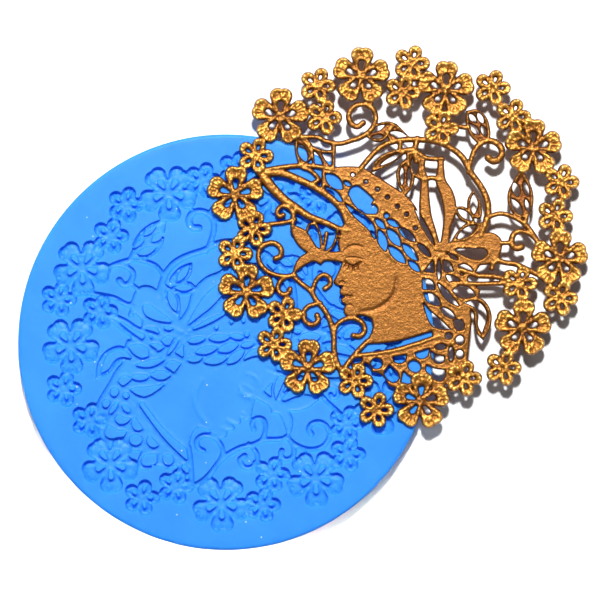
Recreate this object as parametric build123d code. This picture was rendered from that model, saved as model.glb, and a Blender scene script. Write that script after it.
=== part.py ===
from build123d import *
import os
from math import asin, cos, degrees, radians, sin, sqrt

# A round open-face silicone mould for a resin lace medallion, and the casting that it makes.
# Millimetres, +Z up. The origin is the middle of the mould's flat underside. The casting lies
# relief side up across the mould's edge. The cavity is the mirror image of the casting.

# ---------------------------------------------------------------- driving dimensions
MOULD_DIAMETER = 100.0
MOULD_THICKNESS = 5.0
TOP_RIM_ROUNDING = 0.8
BASE_RIM_ROUNDING = 0.3
LACE_THICKNESS = 1.2          # flat back to the top of the strands, leaves and head
BLOSSOM_THICKNESS = 1.7       # the blossoms stand higher than the lace
CASTING_PLACE = (40.8, 25.4)  # centre of the casting on the mould's top
CAVITY_TURN = 144.0           # how far round the mirrored cavity stands in the mould
CAVITY_PLACE = (0.3, -0.9)    # centre of the cavity in the mould's top
CUT_CLEARANCE = 1.0           # how far the cavity's cutter reaches above the mould's top

BIG_REACH = 6.9               # blossom centre to petal tip
BIG_LOBE = 1.9                # each big petal ends in two lobes of this radius
BIG_SPLIT = 0.85              # how far each lobe stands from the petal's middle line
BIG_TURN = 15.0
BIG_HOLE = (1.7, 0.3, 3.1, 0.62)   # near end and its radius, far end and its radius
SMALL_REACH = 4.5
SMALL_LOBE = 1.7
SMALL_TURN = -1.0
SMALL_HOLE = (1.75, 0.25, 2.35, 0.33)
PETALS = 5
PETAL_ROOT = 0.75             # half the width of a petal where it starts
HEART_RADIUS = 1.0            # the solid middle of a blossom
STRAND_SPREAD = 0.35          # added to the width of every strand

# ---------------------------------------------------------------- places of the blossoms
BIG_BLOSSOMS = [(-27.8, 28.8), (-8.3, 38.6), (12, 35.3), (33, 21.4), (39.3, -5.3),
                (30.5, -22), (6, -39.5), (-21.1, -31.5), (-35.9, -13.3), (-38.6, 10.1)]
SMALL_BLOSSOMS = [(-33.7, 19.4), (-18.8, 36.2), (-17.3, 28.6), (3.8, 41.6), (1.6, 34.6),
                  (10.8, 26), (23.2, 35.7), (28.1, 28.8), (39.7, 13.1), (38.2, 4.9),
                  (29.7, -11.3), (39.4, -14.8), (25.8, -31.5), (16.3, -34), (-4.8, -41.6),
                  (-9.8, -34.6), (-29.3, -25.9), (-26.8, -18.7), (-38.7, -4.1), (-34.2, 1.8)]

# ---------------------------------------------------------------- strands of the lace
# width at the start, width at the end, points along the middle
STRANDS = {
    "brim_top": (1.0, 0.9, [(-33, 15.6), (-27.4, 16.6), (-23.1, 17), (-18.7, 16.8), (-15, 16)]),
    "brim_middle": (1.7, 1.2, [(-32.5, 15.2), (-27.4, 15.2), (-23.1, 13.6), (-18.7, 11.4),
                               (-15.6, 9.2), (-13.1, 6.6), (-11.6, 3.2)]),
    "brim_front": (2.3, 0.9, [(-31.8, 14.4), (-29.3, 11.3), (-26.6, 8.7), (-24.2, 7.1),
                              (-20.9, 4.9), (-16.6, 3.2), (-13.3, 1.8), (-11, 1.4)]),
    "brim_hook": (0.7, 0.9, [(-22.5, 16.6), (-20.2, 15.6), (-18.6, 13.7), (-19.6, 12.9)]),
    "brim_curl": (0.8, 0.9, [(-24.6, 4.2), (-24.8, 5.8), (-25.8, 7), (-27.6, 7.2),
                             (-28.5, 5.9), (-27.9, 4.8), (-27, 5.2)]),
    "brim_link": (0.8, 0.8, [(-32.5, 2.5), (-30.9, 2.9), (-27.9, 3.2), (-26.1, 3.5), (-24.2, 4.1)]),
    "brim_foot": (0.8, 0.8, [(-24.2, 6.8), (-24.5, 5), (-24.8, 2.2)]),
    "hat_post": (0.9, 0.9, [(-15, 22.6), (-14.9, 20.4)]),
    "sprig_ring": (0.8, 1.1, [(-24.2, -9.3), (-27, -9.5), (-30, -8.8), (-32.2, -7), (-33, -5),
                              (-32.6, -3), (-31.5, -2), (-30, -1.5), (-28.5, -1.9),
                              (-27.5, -3.2), (-27.7, -4.7), (-28.9, -5.3)]),
    "sprig_hook": (0.8, 1.0, [(-24.2, -9.3), (-26.4, -9.8), (-27.9, -11), (-28.3, -12.6),
                              (-27.2, -13.9), (-25.8, -13.6), (-25.4, -12.6)]),
    "sprig_stem": (0.9, 1.2, [(-24.8, -9.2), (-23, -11), (-20.5, -13), (-19, -15.4),
                              (-17, -17.8), (-15.5, -20.9), (-14.9, -23.8), (-14.8, -27.2),
                              (-14.4, -29.5), (-13.4, -31.8), (-12, -33.6)]),
    "sprig_bud": (0.8, 1.0, [(-20, -13.8), (-19.7, -11.9), (-18.7, -10), (-17.2, -9.2),
                             (-15.9, -10), (-15.8, -11.5), (-17, -12.5)]),
    "sprig_loop": (0.8, 1.1, [(-18, -16), (-20.9, -16.7), (-22.1, -18.2), (-21.8, -20.2),
                              (-20.2, -21.2), (-18.6, -20.3), (-18.9, -18.9)]),
    "sprig_tie": (0.8, 0.8, [(-26.5, -18.9), (-24, -18.4), (-21.8, -18.8)]),
    "throat_curl": (0.8, 1.1, [(-14.9, -24.4), (-14.2, -21.3), (-12.2, -19.9), (-9.8, -19.7),
                               (-7.9, -20.9), (-7.5, -22.6), (-8.6, -23.9), (-10.2, -23.8)]),
    "stamen_loop": (0.4, 0.4, [(-17.8, -3), (-18, -0.6), (-18.5, 1.5), (-19.5, 3), (-20.8, 2.8),
                               (-21.3, 1.4)]),
    "stamen_short": (0.3, 0.7, [(-17.2, -3), (-16.9, -1), (-16.6, 0.8)]),
    "stamen_right": (0.4, 0.4, [(-13.9, 1.9), (-14.3, -0.4), (-15.2, -2.4), (-16.9, -4)]),
    "top_stem": (0.8, 1.1, [(-26, 24.6), (-23.5, 24), (-18.7, 23.8), (-16.8, 22.9),
                            (-13.7, 22.3), (-10.5, 23.1), (-7.7, 24.2), (-5.7, 26),
                            (-4.8, 28.3), (-5.3, 30.3), (-7, 31.6), (-9.2, 31.6),
                            (-10.8, 30.4), (-11.3, 28.6), (-10.6, 27), (-9.2, 26.4),
                            (-7.8, 27.3)]),
    "top_tie": (0.9, 0.9, [(-7.4, 35.4), (-6.3, 34), (-5.9, 32.6), (-6.2, 31)]),
    "crown_arch": (1.0, 1.4, [(-9.2, 15.4), (-6.4, 18.8), (-4, 21.2), (-1.3, 22.6), (1.7, 23.2),
                              (5, 23.3), (9.1, 22.9), (11.9, 22), (14.7, 20.3), (16.3, 18.6),
                              (18, 15.4), (19.8, 12.9), (21.3, 10.4), (22.1, 8), (22.2, 5.6),
                              (21.5, 3), (20.4, 0.2)]),
    "arch_tie": (0.9, 0.9, [(1.4, 20.4), (4.2, 20.7), (7.2, 18.9), (11.2, 18.6)]),
    "arch_post_left": (0.9, 0.9, [(1.1, 23.2), (1, 20.3)]),
    "arch_post": (1.2, 1.0, [(5.2, 23.5), (4.6, 20.8), (4.9, 18)]),
    "ribbon_hem": (0.9, 0.9, [(6.4, 13.6), (8.6, 14.1), (11, 13.6)]),
    "right_stem": (0.8, 1.0, [(21.6, 4.4), (25, 5.5), (28, 4.8), (31, 3), (33, 0.5), (34.6, -2.2)]),
    "right_curl": (0.8, 1.4, [(33.6, -0.6), (32.2, 0.6), (30.4, 1.2), (28.7, 0.9),
                              (27.9, -0.5), (28, -2.1), (29, -2.8), (30.2, -2.5)]),
    "curl_link": (0.8, 0.8, [(25.2, -1.6), (27.9, -1.5)]),
    "upper_curl": (0.9, 1.5, [(17.4, 15.4), (18.1, 18.4), (19.1, 20.9), (20.6, 22.5),
                              (22.6, 23), (24.6, 22.2), (25.6, 20.3), (24.9, 18.7),
                              (23.5, 18.1), (22.2, 18.9)]),
    "upper_tie": (0.9, 0.9, [(12, 26.2), (14.9, 26.4), (17.5, 26.1)]),
    "low_stem": (0.9, 0.9, [(13.5, -11.2), (20, -11.4), (26, -11.2), (29.4, -11)]),
    "bow_stem": (1.0, 1.0, [(23.6, -5.6), (26.4, -6.3), (28.6, -6.6), (31, -7.6), (33.8, -9)]),
    "net_stem": (1.0, 1.0, [(15.5, -8), (20, -9.4), (23.5, -9.6), (27, -10.4)]),
    "bow_curl": (0.8, 1.1, [(24.8, -5.6), (23.5, -6.4), (23.1, -7.6)]),
    "leaf_stalk": (0.9, 0.9, [(31.4, 5), (31, 2.6)]),
    "collar": (0.95, 0.95, [(-10, -28.7), (-5, -28.2), (0, -27.3), (5, -25.8), (10.6, -23.9)]),
    "strap": (1.0, 1.0, [(-12.4, -31.6), (-10.6, -29.3), (-8.9, -27.3), (-6.8, -25.2)]),
}

# ---------------------------------------------------------------- leaves and solid areas
# each outline is a list of curves that meet at its corners
SHEETS = {
    "head": [
        [(-17.8, 16.4), (-12, 16.9), (-8.2, 16.6), (-5, 14.9), (-1.8, 12.8), (1, 11),
         (3.2, 9.2), (4.9, 7), (6, 4), (7.6, 0.7), (9.8, -2.4)],
        [(9.8, -2.4), (8.6, -5.6), (6.6, -9.3)],
        [(6.6, -9.3), (6.3, -13), (7, -17), (8.2, -20.5), (9.2, -22.7)],
        [(9.2, -22.7), (0, -25.3), (-8.2, -26)],
        [(-8.2, -26), (-6.4, -24), (-5.6, -21.6), (-5.9, -19.8)],
        [(-5.9, -19.8), (-8.2, -19), (-10.2, -19.4)],
        [(-10.2, -19.4), (-11.9, -19.1), (-12.6, -17.8), (-12.1, -16.4)],
        [(-12.1, -16.4), (-12.9, -15.9), (-13.2, -15.1), (-12.4, -14.4)],
        [(-12.4, -14.4), (-13.3, -13.9), (-13.5, -13), (-12.9, -12)],
        [(-12.9, -12), (-14.4, -11.7), (-14.9, -10.8), (-14.2, -9.2), (-13.2, -7),
         (-12.9, -5.2), (-13.6, -3.2), (-13.9, -0.8), (-13.2, 1.8)],
        [(-13.2, 1.8), (-12.2, 4.4), (-13.6, 7.4), (-15.9, 9.6), (-18, 11.4)],
        [(-18, 11.4), (-17.8, 16.4)],
    ],
    "lily": [
        [(-25, 3.1), (-25.2, 1.4), (-24.4, -0.8), (-23.1, -2.6), (-21.5, -3.9)],
        [(-21.5, -3.9), (-23.2, -5), (-24.4, -7), (-25, -9.6)],
        [(-25, -9.6), (-22.6, -7.6), (-21, -6.6), (-19.6, -6.1), (-18, -6.9)],
        [(-18, -6.9), (-17, -6), (-15.2, -6), (-12.4, -6.4)],
        [(-12.4, -6.4), (-12.6, -3.4)],
        [(-12.6, -3.4), (-15.4, -3.6), (-17.4, -3.2), (-19, -2.4)],
        [(-19, -2.4), (-20.2, -0.4), (-21.6, 1.5), (-25, 3.1)],
    ],
    "bow": [
        [(9, -1.2), (13.4, -1.4), (17.3, -0.1), (20.6, 0.9), (23.4, 0.9), (25.2, -0.4),
         (25.6, -2.2), (25.2, -4.2), (24.5, -6.1), (22, -6.8), (19.5, -6.9), (16.5, -6),
         (13, -4.2), (9.4, -3.6)],
        [(9.4, -3.6), (8.2, -2.6), (9, -1.2)],
    ],
    "ribbon_left": [
        [(5.5, 19), (5.4, 16.6), (5.9, 13.6), (5.7, 10), (5.6, 7), (5.9, 4.4), (7, 1.4), (8.6, -1.8)],
        [(8.6, -1.8), (10.6, -1.6)],
        [(10.6, -1.6), (9.7, 1.6), (8.7, 5), (8.3, 8), (8, 11), (7.9, 13.6), (7.1, 16.4), (7.3, 19)],
        [(7.3, 19), (5.5, 19)],
    ],
    "ribbon_right": [
        [(10.6, -2), (11.1, 1), (11.4, 4), (11.3, 7), (10.6, 10), (9.5, 13.4), (9.9, 16), (10, 19)],
        [(10, 19), (11.6, 19)],
        [(11.6, 19), (11.7, 16), (12.1, 13.6), (13.6, 11.2), (14.5, 8.3), (14.4, 5.2),
         (13.2, 1.8), (13, -2.4)],
        [(13, -2.4), (10.6, -2)],
    ],
    "net": [
        [(8.8, -3.2), (12, -4), (17, -5.6), (20.6, -6.4)],
        [(20.6, -6.4), (18.4, -10.8), (20.4, -12.9)],
        [(20.4, -12.9), (19.6, -15.4), (18.2, -17.6), (18.3, -20.5), (17.9, -24), (17.6, -27.5),
         (17.2, -31)],
        [(17.2, -31), (13.6, -34), (11, -36.4), (8.5, -37)],
        [(8.5, -37), (8.6, -30), (8.8, -24)],
        [(8.8, -24), (8.4, -21.6), (7.2, -18), (6, -14.5), (5.7, -10.8), (5.9, -8.6)],
        [(5.9, -8.6), (7.2, -5.6), (8.8, -3.2)],
    ],
    "bodice": [
        [(-9.4, -28.8), (-4, -28.2), (2, -27), (10, -24.4)],
        [(10, -24.4), (11, -28), (10.8, -33.5)],
        [(10.8, -33.5), (6, -36), (1.2, -36.4)],
        [(1.2, -36.4), (-1.5, -36), (-3, -33.6), (-5.4, -32.6), (-8, -32.8), (-10.8, -31)],
        [(-10.8, -31), (-9.4, -28.8)],
    ],
    "tail_leaf": [
        [(15.8, -15.6), (18.6, -14.6), (20.8, -15), (22.4, -16.8), (23.1, -19.3),
         (22.6, -22.2), (21, -25)],
        [(21, -25), (19.5, -23.4), (18.8, -20.6), (18.6, -18.4), (17.4, -16.8), (15.8, -15.6)],
    ],
    "crown_leaf_outer": [
        [(-6.2, 15.2), (-4.8, 18.4), (-2.4, 20.1), (0.4, 21), (5, 21.8)],
        [(5, 21.8), (2.2, 19.9), (0.2, 18.2), (-1.8, 16.8), (-6.2, 15.2)],
    ],
    "crown_leaf_middle": [
        [(2.4, 18.8), (0.3, 16.3), (0.2, 13.4), (2.2, 9.4)],
        [(2.2, 9.4), (4.3, 12.4), (4.4, 15.8), (2.4, 18.8)],
    ],
    "crown_leaf_inner": [
        [(2.4, 20.2), (4.8, 20.3), (6, 18.6), (6.2, 16), (7, 13)],
        [(7, 13), (4.6, 14.2), (3.1, 15.6), (2.6, 17.8), (2.4, 20.2)],
    ],
    "top_leaf": [
        [(-7.4, 24), (-5.8, 26.2), (-4, 27.3), (-1.8, 27.7), (0.2, 27.1)],
        [(0.2, 27.1), (-1.4, 24.9), (-2.6, 23.2), (-4.6, 22.6), (-7.4, 24)],
    ],
    "top_leaf_lobe": [
        [(-3, 25.2), (-1.6, 26.6), (0.2, 27.1)],
        [(0.2, 27.1), (1.9, 25.4), (4.2, 23)],
        [(4.2, 23), (1.4, 22.9), (-1.4, 22.4)],
        [(-1.4, 22.4), (-2, 23.8), (-3, 25.2)],
    ],
    "hat_leaf_left": [
        [(-24.2, 24.2), (-24.3, 20.8), (-23.3, 16.7)],
        [(-23.3, 16.7), (-20.4, 18.4), (-19.8, 21.4), (-21.4, 23.6), (-24.2, 24.2)],
    ],
    "hat_leaf_right": [
        [(-23.2, 23.8), (-20.8, 20.4), (-19.8, 16.5)],
        [(-19.8, 16.5), (-14.5, 16)],
        [(-14.5, 16), (-14.5, 20.8)],
        [(-14.5, 20.8), (-18.2, 21), (-20.6, 22.3), (-23.2, 23.8)],
    ],
    "right_leaf": [
        [(31.4, 4.2), (28.6, 5), (27, 7.6), (26.9, 10.6), (28, 13), (30, 16.4)],
        [(30, 16.4), (32.2, 13), (33.1, 9.8), (32.8, 6.6), (31.4, 4.2)],
    ],
    "upper_leaf": [
        [(16.9, 30.2), (16.8, 27.2), (18, 24), (20.6, 21.6)],
        [(20.6, 21.6), (22.6, 23.6), (22.6, 26.4), (21.6, 29), (19.4, 30.6), (16.9, 30.2)],
    ],
    "arch_leaf_tip": [
        [(18.6, 11.4), (17.3, 9.2), (17.1, 7), (17.6, 4.6)],
        [(17.6, 4.6), (20.4, 4.4), (20.6, 7.7), (19.9, 9.6), (18.6, 11.4)],
    ],
    "arch_leaf_mid": [
        [(13.8, 7.1), (16.4, 7.2), (18.4, 5.4), (19.3, 2.8)],
        [(19.3, 2.8), (16.4, 3.4), (14.9, 4.6), (13.8, 7.1)],
    ],
    "arch_leaf_low": [
        [(13, -1.6), (14.6, 1), (16.8, 3.1), (20.8, 3.4)],
        [(20.8, 3.4), (19.8, 1), (17.4, -0.7), (13, -1.6)],
    ],
}

# ---------------------------------------------------------------- openings in those areas
# leaf-shaped openings: tip, tip, greatest width
LEAF_HOLES = [
    ((-16.8, 15), (-12.8, 11.4), 2.6), ((-17, 11.9), (-12.8, 8.4), 1.7),
    ((-12.4, 13.2), (-10.8, 12.2), 0.9), ((-4.9, 4.3), (-2.6, 1.9), 1.3),
    ((-2.1, 4), (0.9, 2.4), 1.3), ((-4, 1.6), (-2.4, -3.5), 2), ((-2, 1.9), (1.1, -2.3), 2),
    ((0.7, 2.1), (4.7, -1.2), 1.7), ((-1.7, -2.3), (2.3, -6.4), 2), ((1.6, -1.7), (5.3, -5.8), 1.8),
    ((3.1, -5.8), (5.7, -8.4), 1.4), ((5.3, -1.7), (8.3, -4.8), 1.3), ((12.9, -4.4), (14.9, -5.5), 0.7),
    ((-3.8, 17), (1.6, 20.2), 1), ((1.5, 16.8), (1.5, 12.4), 0.9), ((3.2, 16.6), (3.1, 12), 0.8),
    ((4.4, 19.4), (4.8, 15), 1.7), ((-6.1, 24.9), (-2.6, 26.8), 1), ((-5.6, 23.9), (-3, 24.1), 0.8),
    ((-1.4, 25), (2.8, 23.8), 1.5), ((-23.2, 22.2), (-21.5, 18), 1.9),
    ((28.4, 13), (29.4, 9.6), 1.6), ((27.8, 9), (30.3, 5.2), 1.7),
    ((30.8, 13.2), (31.8, 9.6), 1.2), ((31.2, 9), (32, 5.8), 0.9), ((17.7, 29.4), (19.3, 27.3), 1.2),
    ((17.7, 27.1), (20, 24.4), 1.3), ((19.7, 29.7), (21, 27.2), 1.2), ((20.6, 26.7), (21.6, 24.1), 1.1),
    ((18.8, 10.2), (18.8, 5.4), 1.7), ((14.9, 6.5), (18.4, 3.9), 1.5), ((14.8, -0.5), (19.2, 2.6), 1.9),
    ((10.4, -5.6), (10.4, -10.4), 0.9), ((4.7, 6.6), (9.4, -2.2), 0.9), ((10.8, -17.1), (14.3, -19.7), 1.5),
    ((-7.4, -30.4), (-6, -33.3), 1.5),
]
# oval openings: centre, length, width, turn in degrees
OVAL_HOLES = [
    ((-10.3, 14.8), 0.8, 0.8, 0), ((-7.2, 13.1), 0.8, 0.8, 0), ((-4.4, 11.3), 0.8, 0.8, 0),
    ((-2, 9.4), 0.8, 0.8, 0), ((0.4, 7.2), 0.8, 0.8, 0), ((2.6, 5.3), 0.8, 0.8, 0),
    ((4.7, 2), 0.8, 0.8, 0), ((-2.2, 5), 1.1, 1.1, 0),
    ((12.7, -23.9), 1.5, 1.4, 0), ((15.4, -24.9), 1.9, 2.1, 0), ((10.8, -26.5), 2.3, 1.2, 5),
    ((15.4, -28.3), 1.7, 2, 0), ((13.3, -28.2), 1.1, 3.2, 0), ((18.1, -10.2), 1.5, 1.3, 0),
    ((-9.3, -29.6), 2.3, 1.8, 20), ((-4.6, -30.5), 2.6, 2.4, 0), ((4.5, -31.2), 3, 2.5, -35),
]
FREE_HOLES = {
    "kidney": [[(-11.3, 10.2), (-10.7, 11.6), (-9.4, 12.1), (-7.4, 10.8), (-5.4, 8.9)],
               [(-5.4, 8.9), (-6.1, 7.6)],
               [(-6.1, 7.6), (-5.1, 7.5), (-4.4, 6.6), (-4.7, 5.5)],
               [(-4.7, 5.5), (-7.5, 5.7), (-9.8, 7.6), (-11.3, 10.2)]],
    "crown_wave": [[(-12.2, 8), (-10.6, 5.6), (-8.3, 3.4), (-6.4, 1.6), (-5, -0.6)],
                   [(-5, -0.6), (-5.2, 2.2), (-7, 4.5), (-9.6, 6.2), (-12.2, 8)]],
    "bow_eye": [[(14.3, -3.2), (18.2, -3), (21.4, -3.2), (21.9, -4.1), (20.6, -5.4),
                 (18.4, -5.3), (16.1, -4.4), (14.3, -3.2)]],
    "ear_gap": [[(6.9, -8.4), (8.9, -5.8)], [(8.9, -5.8), (9.2, -8.6)], [(9.2, -8.6), (6.9, -8.4)]],
    "scale_upper": [[(-0.7, -29), (2.5, -28.4)],
                    [(2.5, -28.4), (2.2, -29.8), (1, -30.4), (-0.2, -30), (-0.7, -29)]],
    "scale_right": [[(4.7, -28), (8, -27)],
                    [(8, -27), (7.6, -28.6), (6.3, -29.3), (5.2, -28.9), (4.7, -28)]],
    "scale_lower": [[(-1.5, -30.9), (0.4, -32.7)],
                    [(0.4, -32.7), (0.7, -34), (-0.3, -35), (-1.7, -34.4), (-2.7, -32.8), (-1.5, -30.9)]],
    "scale_hem": [[(1.9, -32.4), (3.2, -33.6), (4.8, -33.8)],
                  [(4.8, -33.8), (4.3, -34.9), (2.8, -35.3), (1.3, -35)],
                  [(1.3, -35), (1.9, -32.4)]],
    "scale_side": [[(7.5, -30.9), (9.4, -31.8), (11.8, -32.1)],
                   [(11.8, -32.1), (11.8, -33.5), (11, -34.6), (9.6, -34.4), (8.2, -33),
                    (7.3, -32.1), (7.5, -30.9)]],
    "scale_braid": [[(8.4, -27.6), (9.8, -28.5), (11.6, -28.8)],
                    [(11.6, -28.8), (11.4, -30.1), (10, -30.4), (8.8, -29.3), (8.4, -27.6)]],
    "hat_slot_left": [[(-19.6, 20.5), (-18.3, 19), (-17.5, 17.1)],
                      [(-17.5, 17.1), (-19.4, 17.1)], [(-19.4, 17.1), (-19.6, 20.5)]],
    "hat_slot_right": [[(-17.7, 19.9), (-15.5, 19.7)], [(-15.5, 19.7), (-15.4, 18), (-15.8, 17)],
                       [(-15.8, 17), (-16.9, 18.5), (-17.7, 19.9)]],
    "braid_nape": [[(6.5, -10.1), (8.2, -10.5), (9.1, -11.4), (9.2, -12.7)],
                   [(9.2, -12.7), (6.6, -12.6)], [(6.6, -12.6), (6.5, -10.1)]],
    "braid_nape_low": [[(6.8, -13.6), (8.8, -13.8)], [(8.8, -13.8), (10.1, -14.9), (10.8, -16.6)],
                       [(10.8, -16.6), (8.9, -16.3), (7.5, -15.3), (6.8, -13.6)]],
    "braid_neck": [[(6.7, -15.9), (7.3, -18.3), (8.1, -20.3), (9, -21.6)],
                   [(9, -21.6), (10.9, -22.2), (12.9, -22.2)],
                   [(12.9, -22.2), (11.2, -20.5), (9.2, -18.8), (7.7, -17.3), (6.7, -15.9)]],
    "braid_long": [[(10.1, -11.2), (12, -12.7), (13.6, -14.6), (15.3, -16.8)],
                   [(15.3, -16.8), (12.8, -15.6), (11.1, -13.7), (10.1, -11.2)]],
    "braid_back": [[(13.8, -13), (15, -12), (17, -12.1), (18.4, -13.1), (19, -14.2)],
                   [(19, -14.2), (17, -14.7), (15, -14.4), (13.8, -13)]],
    "braid_crown": [[(12, -9.2), (14.2, -9.7), (16.1, -11.3)],
                    [(16.1, -11.3), (14, -11.3), (12.7, -10.6), (12, -9.2)]],
    "braid_top": [[(11.5, -5.8), (12.9, -6.3), (13.7, -8.2)], [(13.7, -8.2), (12.2, -8.5), (11.4, -8)],
                  [(11.4, -8), (11.5, -5.8)]],
    "braid_curl": [[(15.1, -7), (16.6, -6.7), (18.3, -7.9), (18.6, -9.3)],
                   [(18.6, -9.3), (17, -8.6), (15.9, -9.3), (15.1, -7)]],
    "braid_end": [[(13.9, -20.1), (15.7, -20)], [(15.7, -20), (16.3, -21.2), (16.2, -22.3)],
                  [(16.2, -22.3), (14.7, -22.4), (13.9, -20.1)]],
    "tail_slot": [[(16.8, -15.9), (18.5, -15.5), (20.1, -15.9), (21.5, -17.6), (21.8, -19.4), (20.7, -23.2)],
                  [(20.7, -23.2), (19.8, -21.3), (19.9, -19), (19.1, -17.2), (16.8, -15.9)]],
}


def face_inside(*edges):
    """The flat face inside a closed run of edges, facing up."""
    face = Face(Wire([curve.edge() for curve in edges]))
    return face if face.normal_at().Z > 0 else -face


def curve_through(points):
    """A straight line between two points, or a smooth curve through more."""
    return Line(*points) if len(points) == 2 else Spline(*points)


def outline_face(curves):
    """The area inside curves that meet end to end at its corners."""
    return face_inside(*[curve_through(points) for points in curves])


def strand_face(start_width, end_width, points):
    """A strand with rounded ends that follows the points and changes evenly in width."""
    middle = curve_through(points)
    steps = 2 * len(points) - 2
    left = []
    right = []
    for step in range(steps + 1):
        along = step / steps
        width = start_width + (end_width - start_width) * along + STRAND_SPREAD
        place = middle @ along
        side = (middle % along).rotate(Axis.Z, 90) * width / 2
        left.append(place + side)
        right.append(place - side)
    end_tip = middle @ 1 + (middle % 1) * (end_width + STRAND_SPREAD) / 2
    start_tip = middle @ 0 - (middle % 0) * (start_width + STRAND_SPREAD) / 2
    return face_inside(
        Spline(*left),
        ThreePointArc(left[-1], end_tip, right[-1]),
        Spline(*reversed(right)),
        ThreePointArc(right[0], start_tip, left[0]),
    )


def leaf_face(tip, other_tip, width):
    """A leaf shape between two tips, of two equal arcs."""
    tip = Vector(*tip)
    other_tip = Vector(*other_tip)
    middle = (tip + other_tip) / 2
    side = (other_tip - tip).normalized().rotate(Axis.Z, 90) * width / 2
    return face_inside(
        ThreePointArc(tip, middle + side, other_tip),
        ThreePointArc(other_tip, middle - side, tip),
    )


def oval_face(centre, length, width, turn):
    """An ellipse, or a circle where the length is the width."""
    shape = Circle(length / 2) if length == width else Ellipse(length / 2, width / 2)
    return (Pos(*centre) * Rot(0, 0, turn) * shape).face()


def teardrop_face(near, near_radius, far, far_radius):
    """Two circles on the X axis, joined by their outer tangents."""
    lean = asin((far_radius - near_radius) / (far - near))
    up = Vector(-sin(lean), cos(lean))
    down = Vector(up.X, -up.Y)
    near_centre = Vector(near, 0)
    far_centre = Vector(far, 0)
    near_top = near_centre + up * near_radius
    far_top = far_centre + up * far_radius
    far_low = far_centre + down * far_radius
    near_low = near_centre + down * near_radius
    return face_inside(
        Line(near_top, far_top),
        ThreePointArc(far_top, far_centre + Vector(far_radius, 0), far_low),
        Line(far_low, near_low),
        ThreePointArc(near_low, near_centre - Vector(near_radius, 0), near_top),
    )


def round_petal_face(reach, lobe):
    """A petal along +X that widens from a thin root to a round tip."""
    return teardrop_face(PETAL_ROOT, PETAL_ROOT, reach - lobe, lobe)


def notched_petal_face(reach, lobe, split):
    """A petal along +X that widens from a thin root to two lobes with a notch between them."""
    lobe_centre = Vector(reach - lobe, split)
    lean = degrees(asin((lobe - PETAL_ROOT) / lobe_centre.length))
    out = lobe_centre.normalized().rotate(Axis.Z, 90 + lean)
    root = out * PETAL_ROOT
    shoulder = lobe_centre + out * lobe
    notch = Vector(lobe_centre.X + sqrt(lobe ** 2 - split ** 2), 0)
    crest = lobe_centre + ((shoulder + notch) / 2 - lobe_centre).normalized() * lobe
    low_root, low_shoulder, low_crest = [Vector(point.X, -point.Y) for point in (root, shoulder, crest)]
    return face_inside(
        Line(root, shoulder),
        ThreePointArc(shoulder, crest, notch),
        ThreePointArc(notch, low_crest, low_shoulder),
        Line(low_shoulder, low_root),
        Line(low_root, root),
    )


def blossom_face(petal, hole, first_turn):
    """Five petals round a solid heart, each with its own opening."""
    turns = [first_turn + 360 / PETALS * number for number in range(PETALS)]
    petals = [petal.rotate(Axis.Z, turn) for turn in turns]
    holes = [hole.rotate(Axis.Z, turn) for turn in turns]
    solid_blossom = Circle(HEART_RADIUS).face().fuse(*petals)
    return Sketch(solid_blossom.wrapped) - Sketch(Compound(holes).wrapped)


def lace_faces():
    """The lace without its blossoms: areas with their openings, and the strands over them."""
    areas = [outline_face(curves) for curves in SHEETS.values()]
    openings = [leaf_face(*hole) for hole in LEAF_HOLES]
    openings += [oval_face(*hole) for hole in OVAL_HOLES]
    openings += [outline_face(curves) for curves in FREE_HOLES.values()]
    joined = Sketch(areas[0].fuse(*areas[1:]).wrapped)
    pierced = (joined - Sketch(Compound(openings).wrapped)).faces()
    strands = [strand_face(*strand) for strand in STRANDS.values()]
    return pierced[0].fuse(*pierced[1:], *strands).faces()


def medallion(back):
    """The whole openwork shape, relief side up, from the height of its back."""
    big = blossom_face(notched_petal_face(BIG_REACH, BIG_LOBE, BIG_SPLIT), teardrop_face(*BIG_HOLE), BIG_TURN)
    small = blossom_face(round_petal_face(SMALL_REACH, SMALL_LOBE), teardrop_face(*SMALL_HOLE), SMALL_TURN)
    pieces = [Pos(0, 0, back) * extrude(face, LACE_THICKNESS - back) for face in lace_faces()]
    for blossom, places in ((big, BIG_BLOSSOMS), (small, SMALL_BLOSSOMS)):
        raised = extrude(blossom, BLOSSOM_THICKNESS - back)
        pieces += [Pos(*place, back) * raised for place in places]
    solids = [solid for piece in pieces for solid in piece.solids()]
    return solids[0].fuse(*solids[1:])


def lace_casting():
    """The casting, lying flat on the mould's top and out over its edge."""
    return Pos(*CASTING_PLACE, MOULD_THICKNESS) * medallion(0)


def silicone_mould():
    """The round pad, with the medallion sunk face down in its top."""
    radius = MOULD_DIAMETER / 2
    pad = Pos(0, 0, MOULD_THICKNESS / 2) * Cylinder(radius, MOULD_THICKNESS)
    pad = fillet(pad.edges().group_by(Axis.Z)[-1], TOP_RIM_ROUNDING)
    pad = fillet(pad.edges().group_by(Axis.Z)[0], BASE_RIM_ROUNDING)
    half_turn = radians(CAVITY_TURN / 2)
    turning_axis = Axis((0, 0, 0), (cos(half_turn), sin(half_turn), 0))
    cutter = Pos(*CAVITY_PLACE, MOULD_THICKNESS) * medallion(-CUT_CLEARANCE).rotate(turning_axis, 180)
    return pad - cutter


NODES = {"silicone_mould": silicone_mould, "lace_casting": lace_casting}

os.makedirs("parts", exist_ok=True)
for name, make in NODES.items():
    node = make()
    export_step(node, f"parts/{name}.step")
    size = node.bounding_box().size
    print(f"{name}: {len(node.solids())} solid, {node.volume:.1f} mm3")
    print(f"    {size.X:.2f} x {size.Y:.2f} x {size.Z:.2f} mm")
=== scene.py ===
import math

import bpy
import numpy as np
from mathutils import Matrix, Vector
from mathutils.geometry import delaunay_2d_cdt


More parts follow.
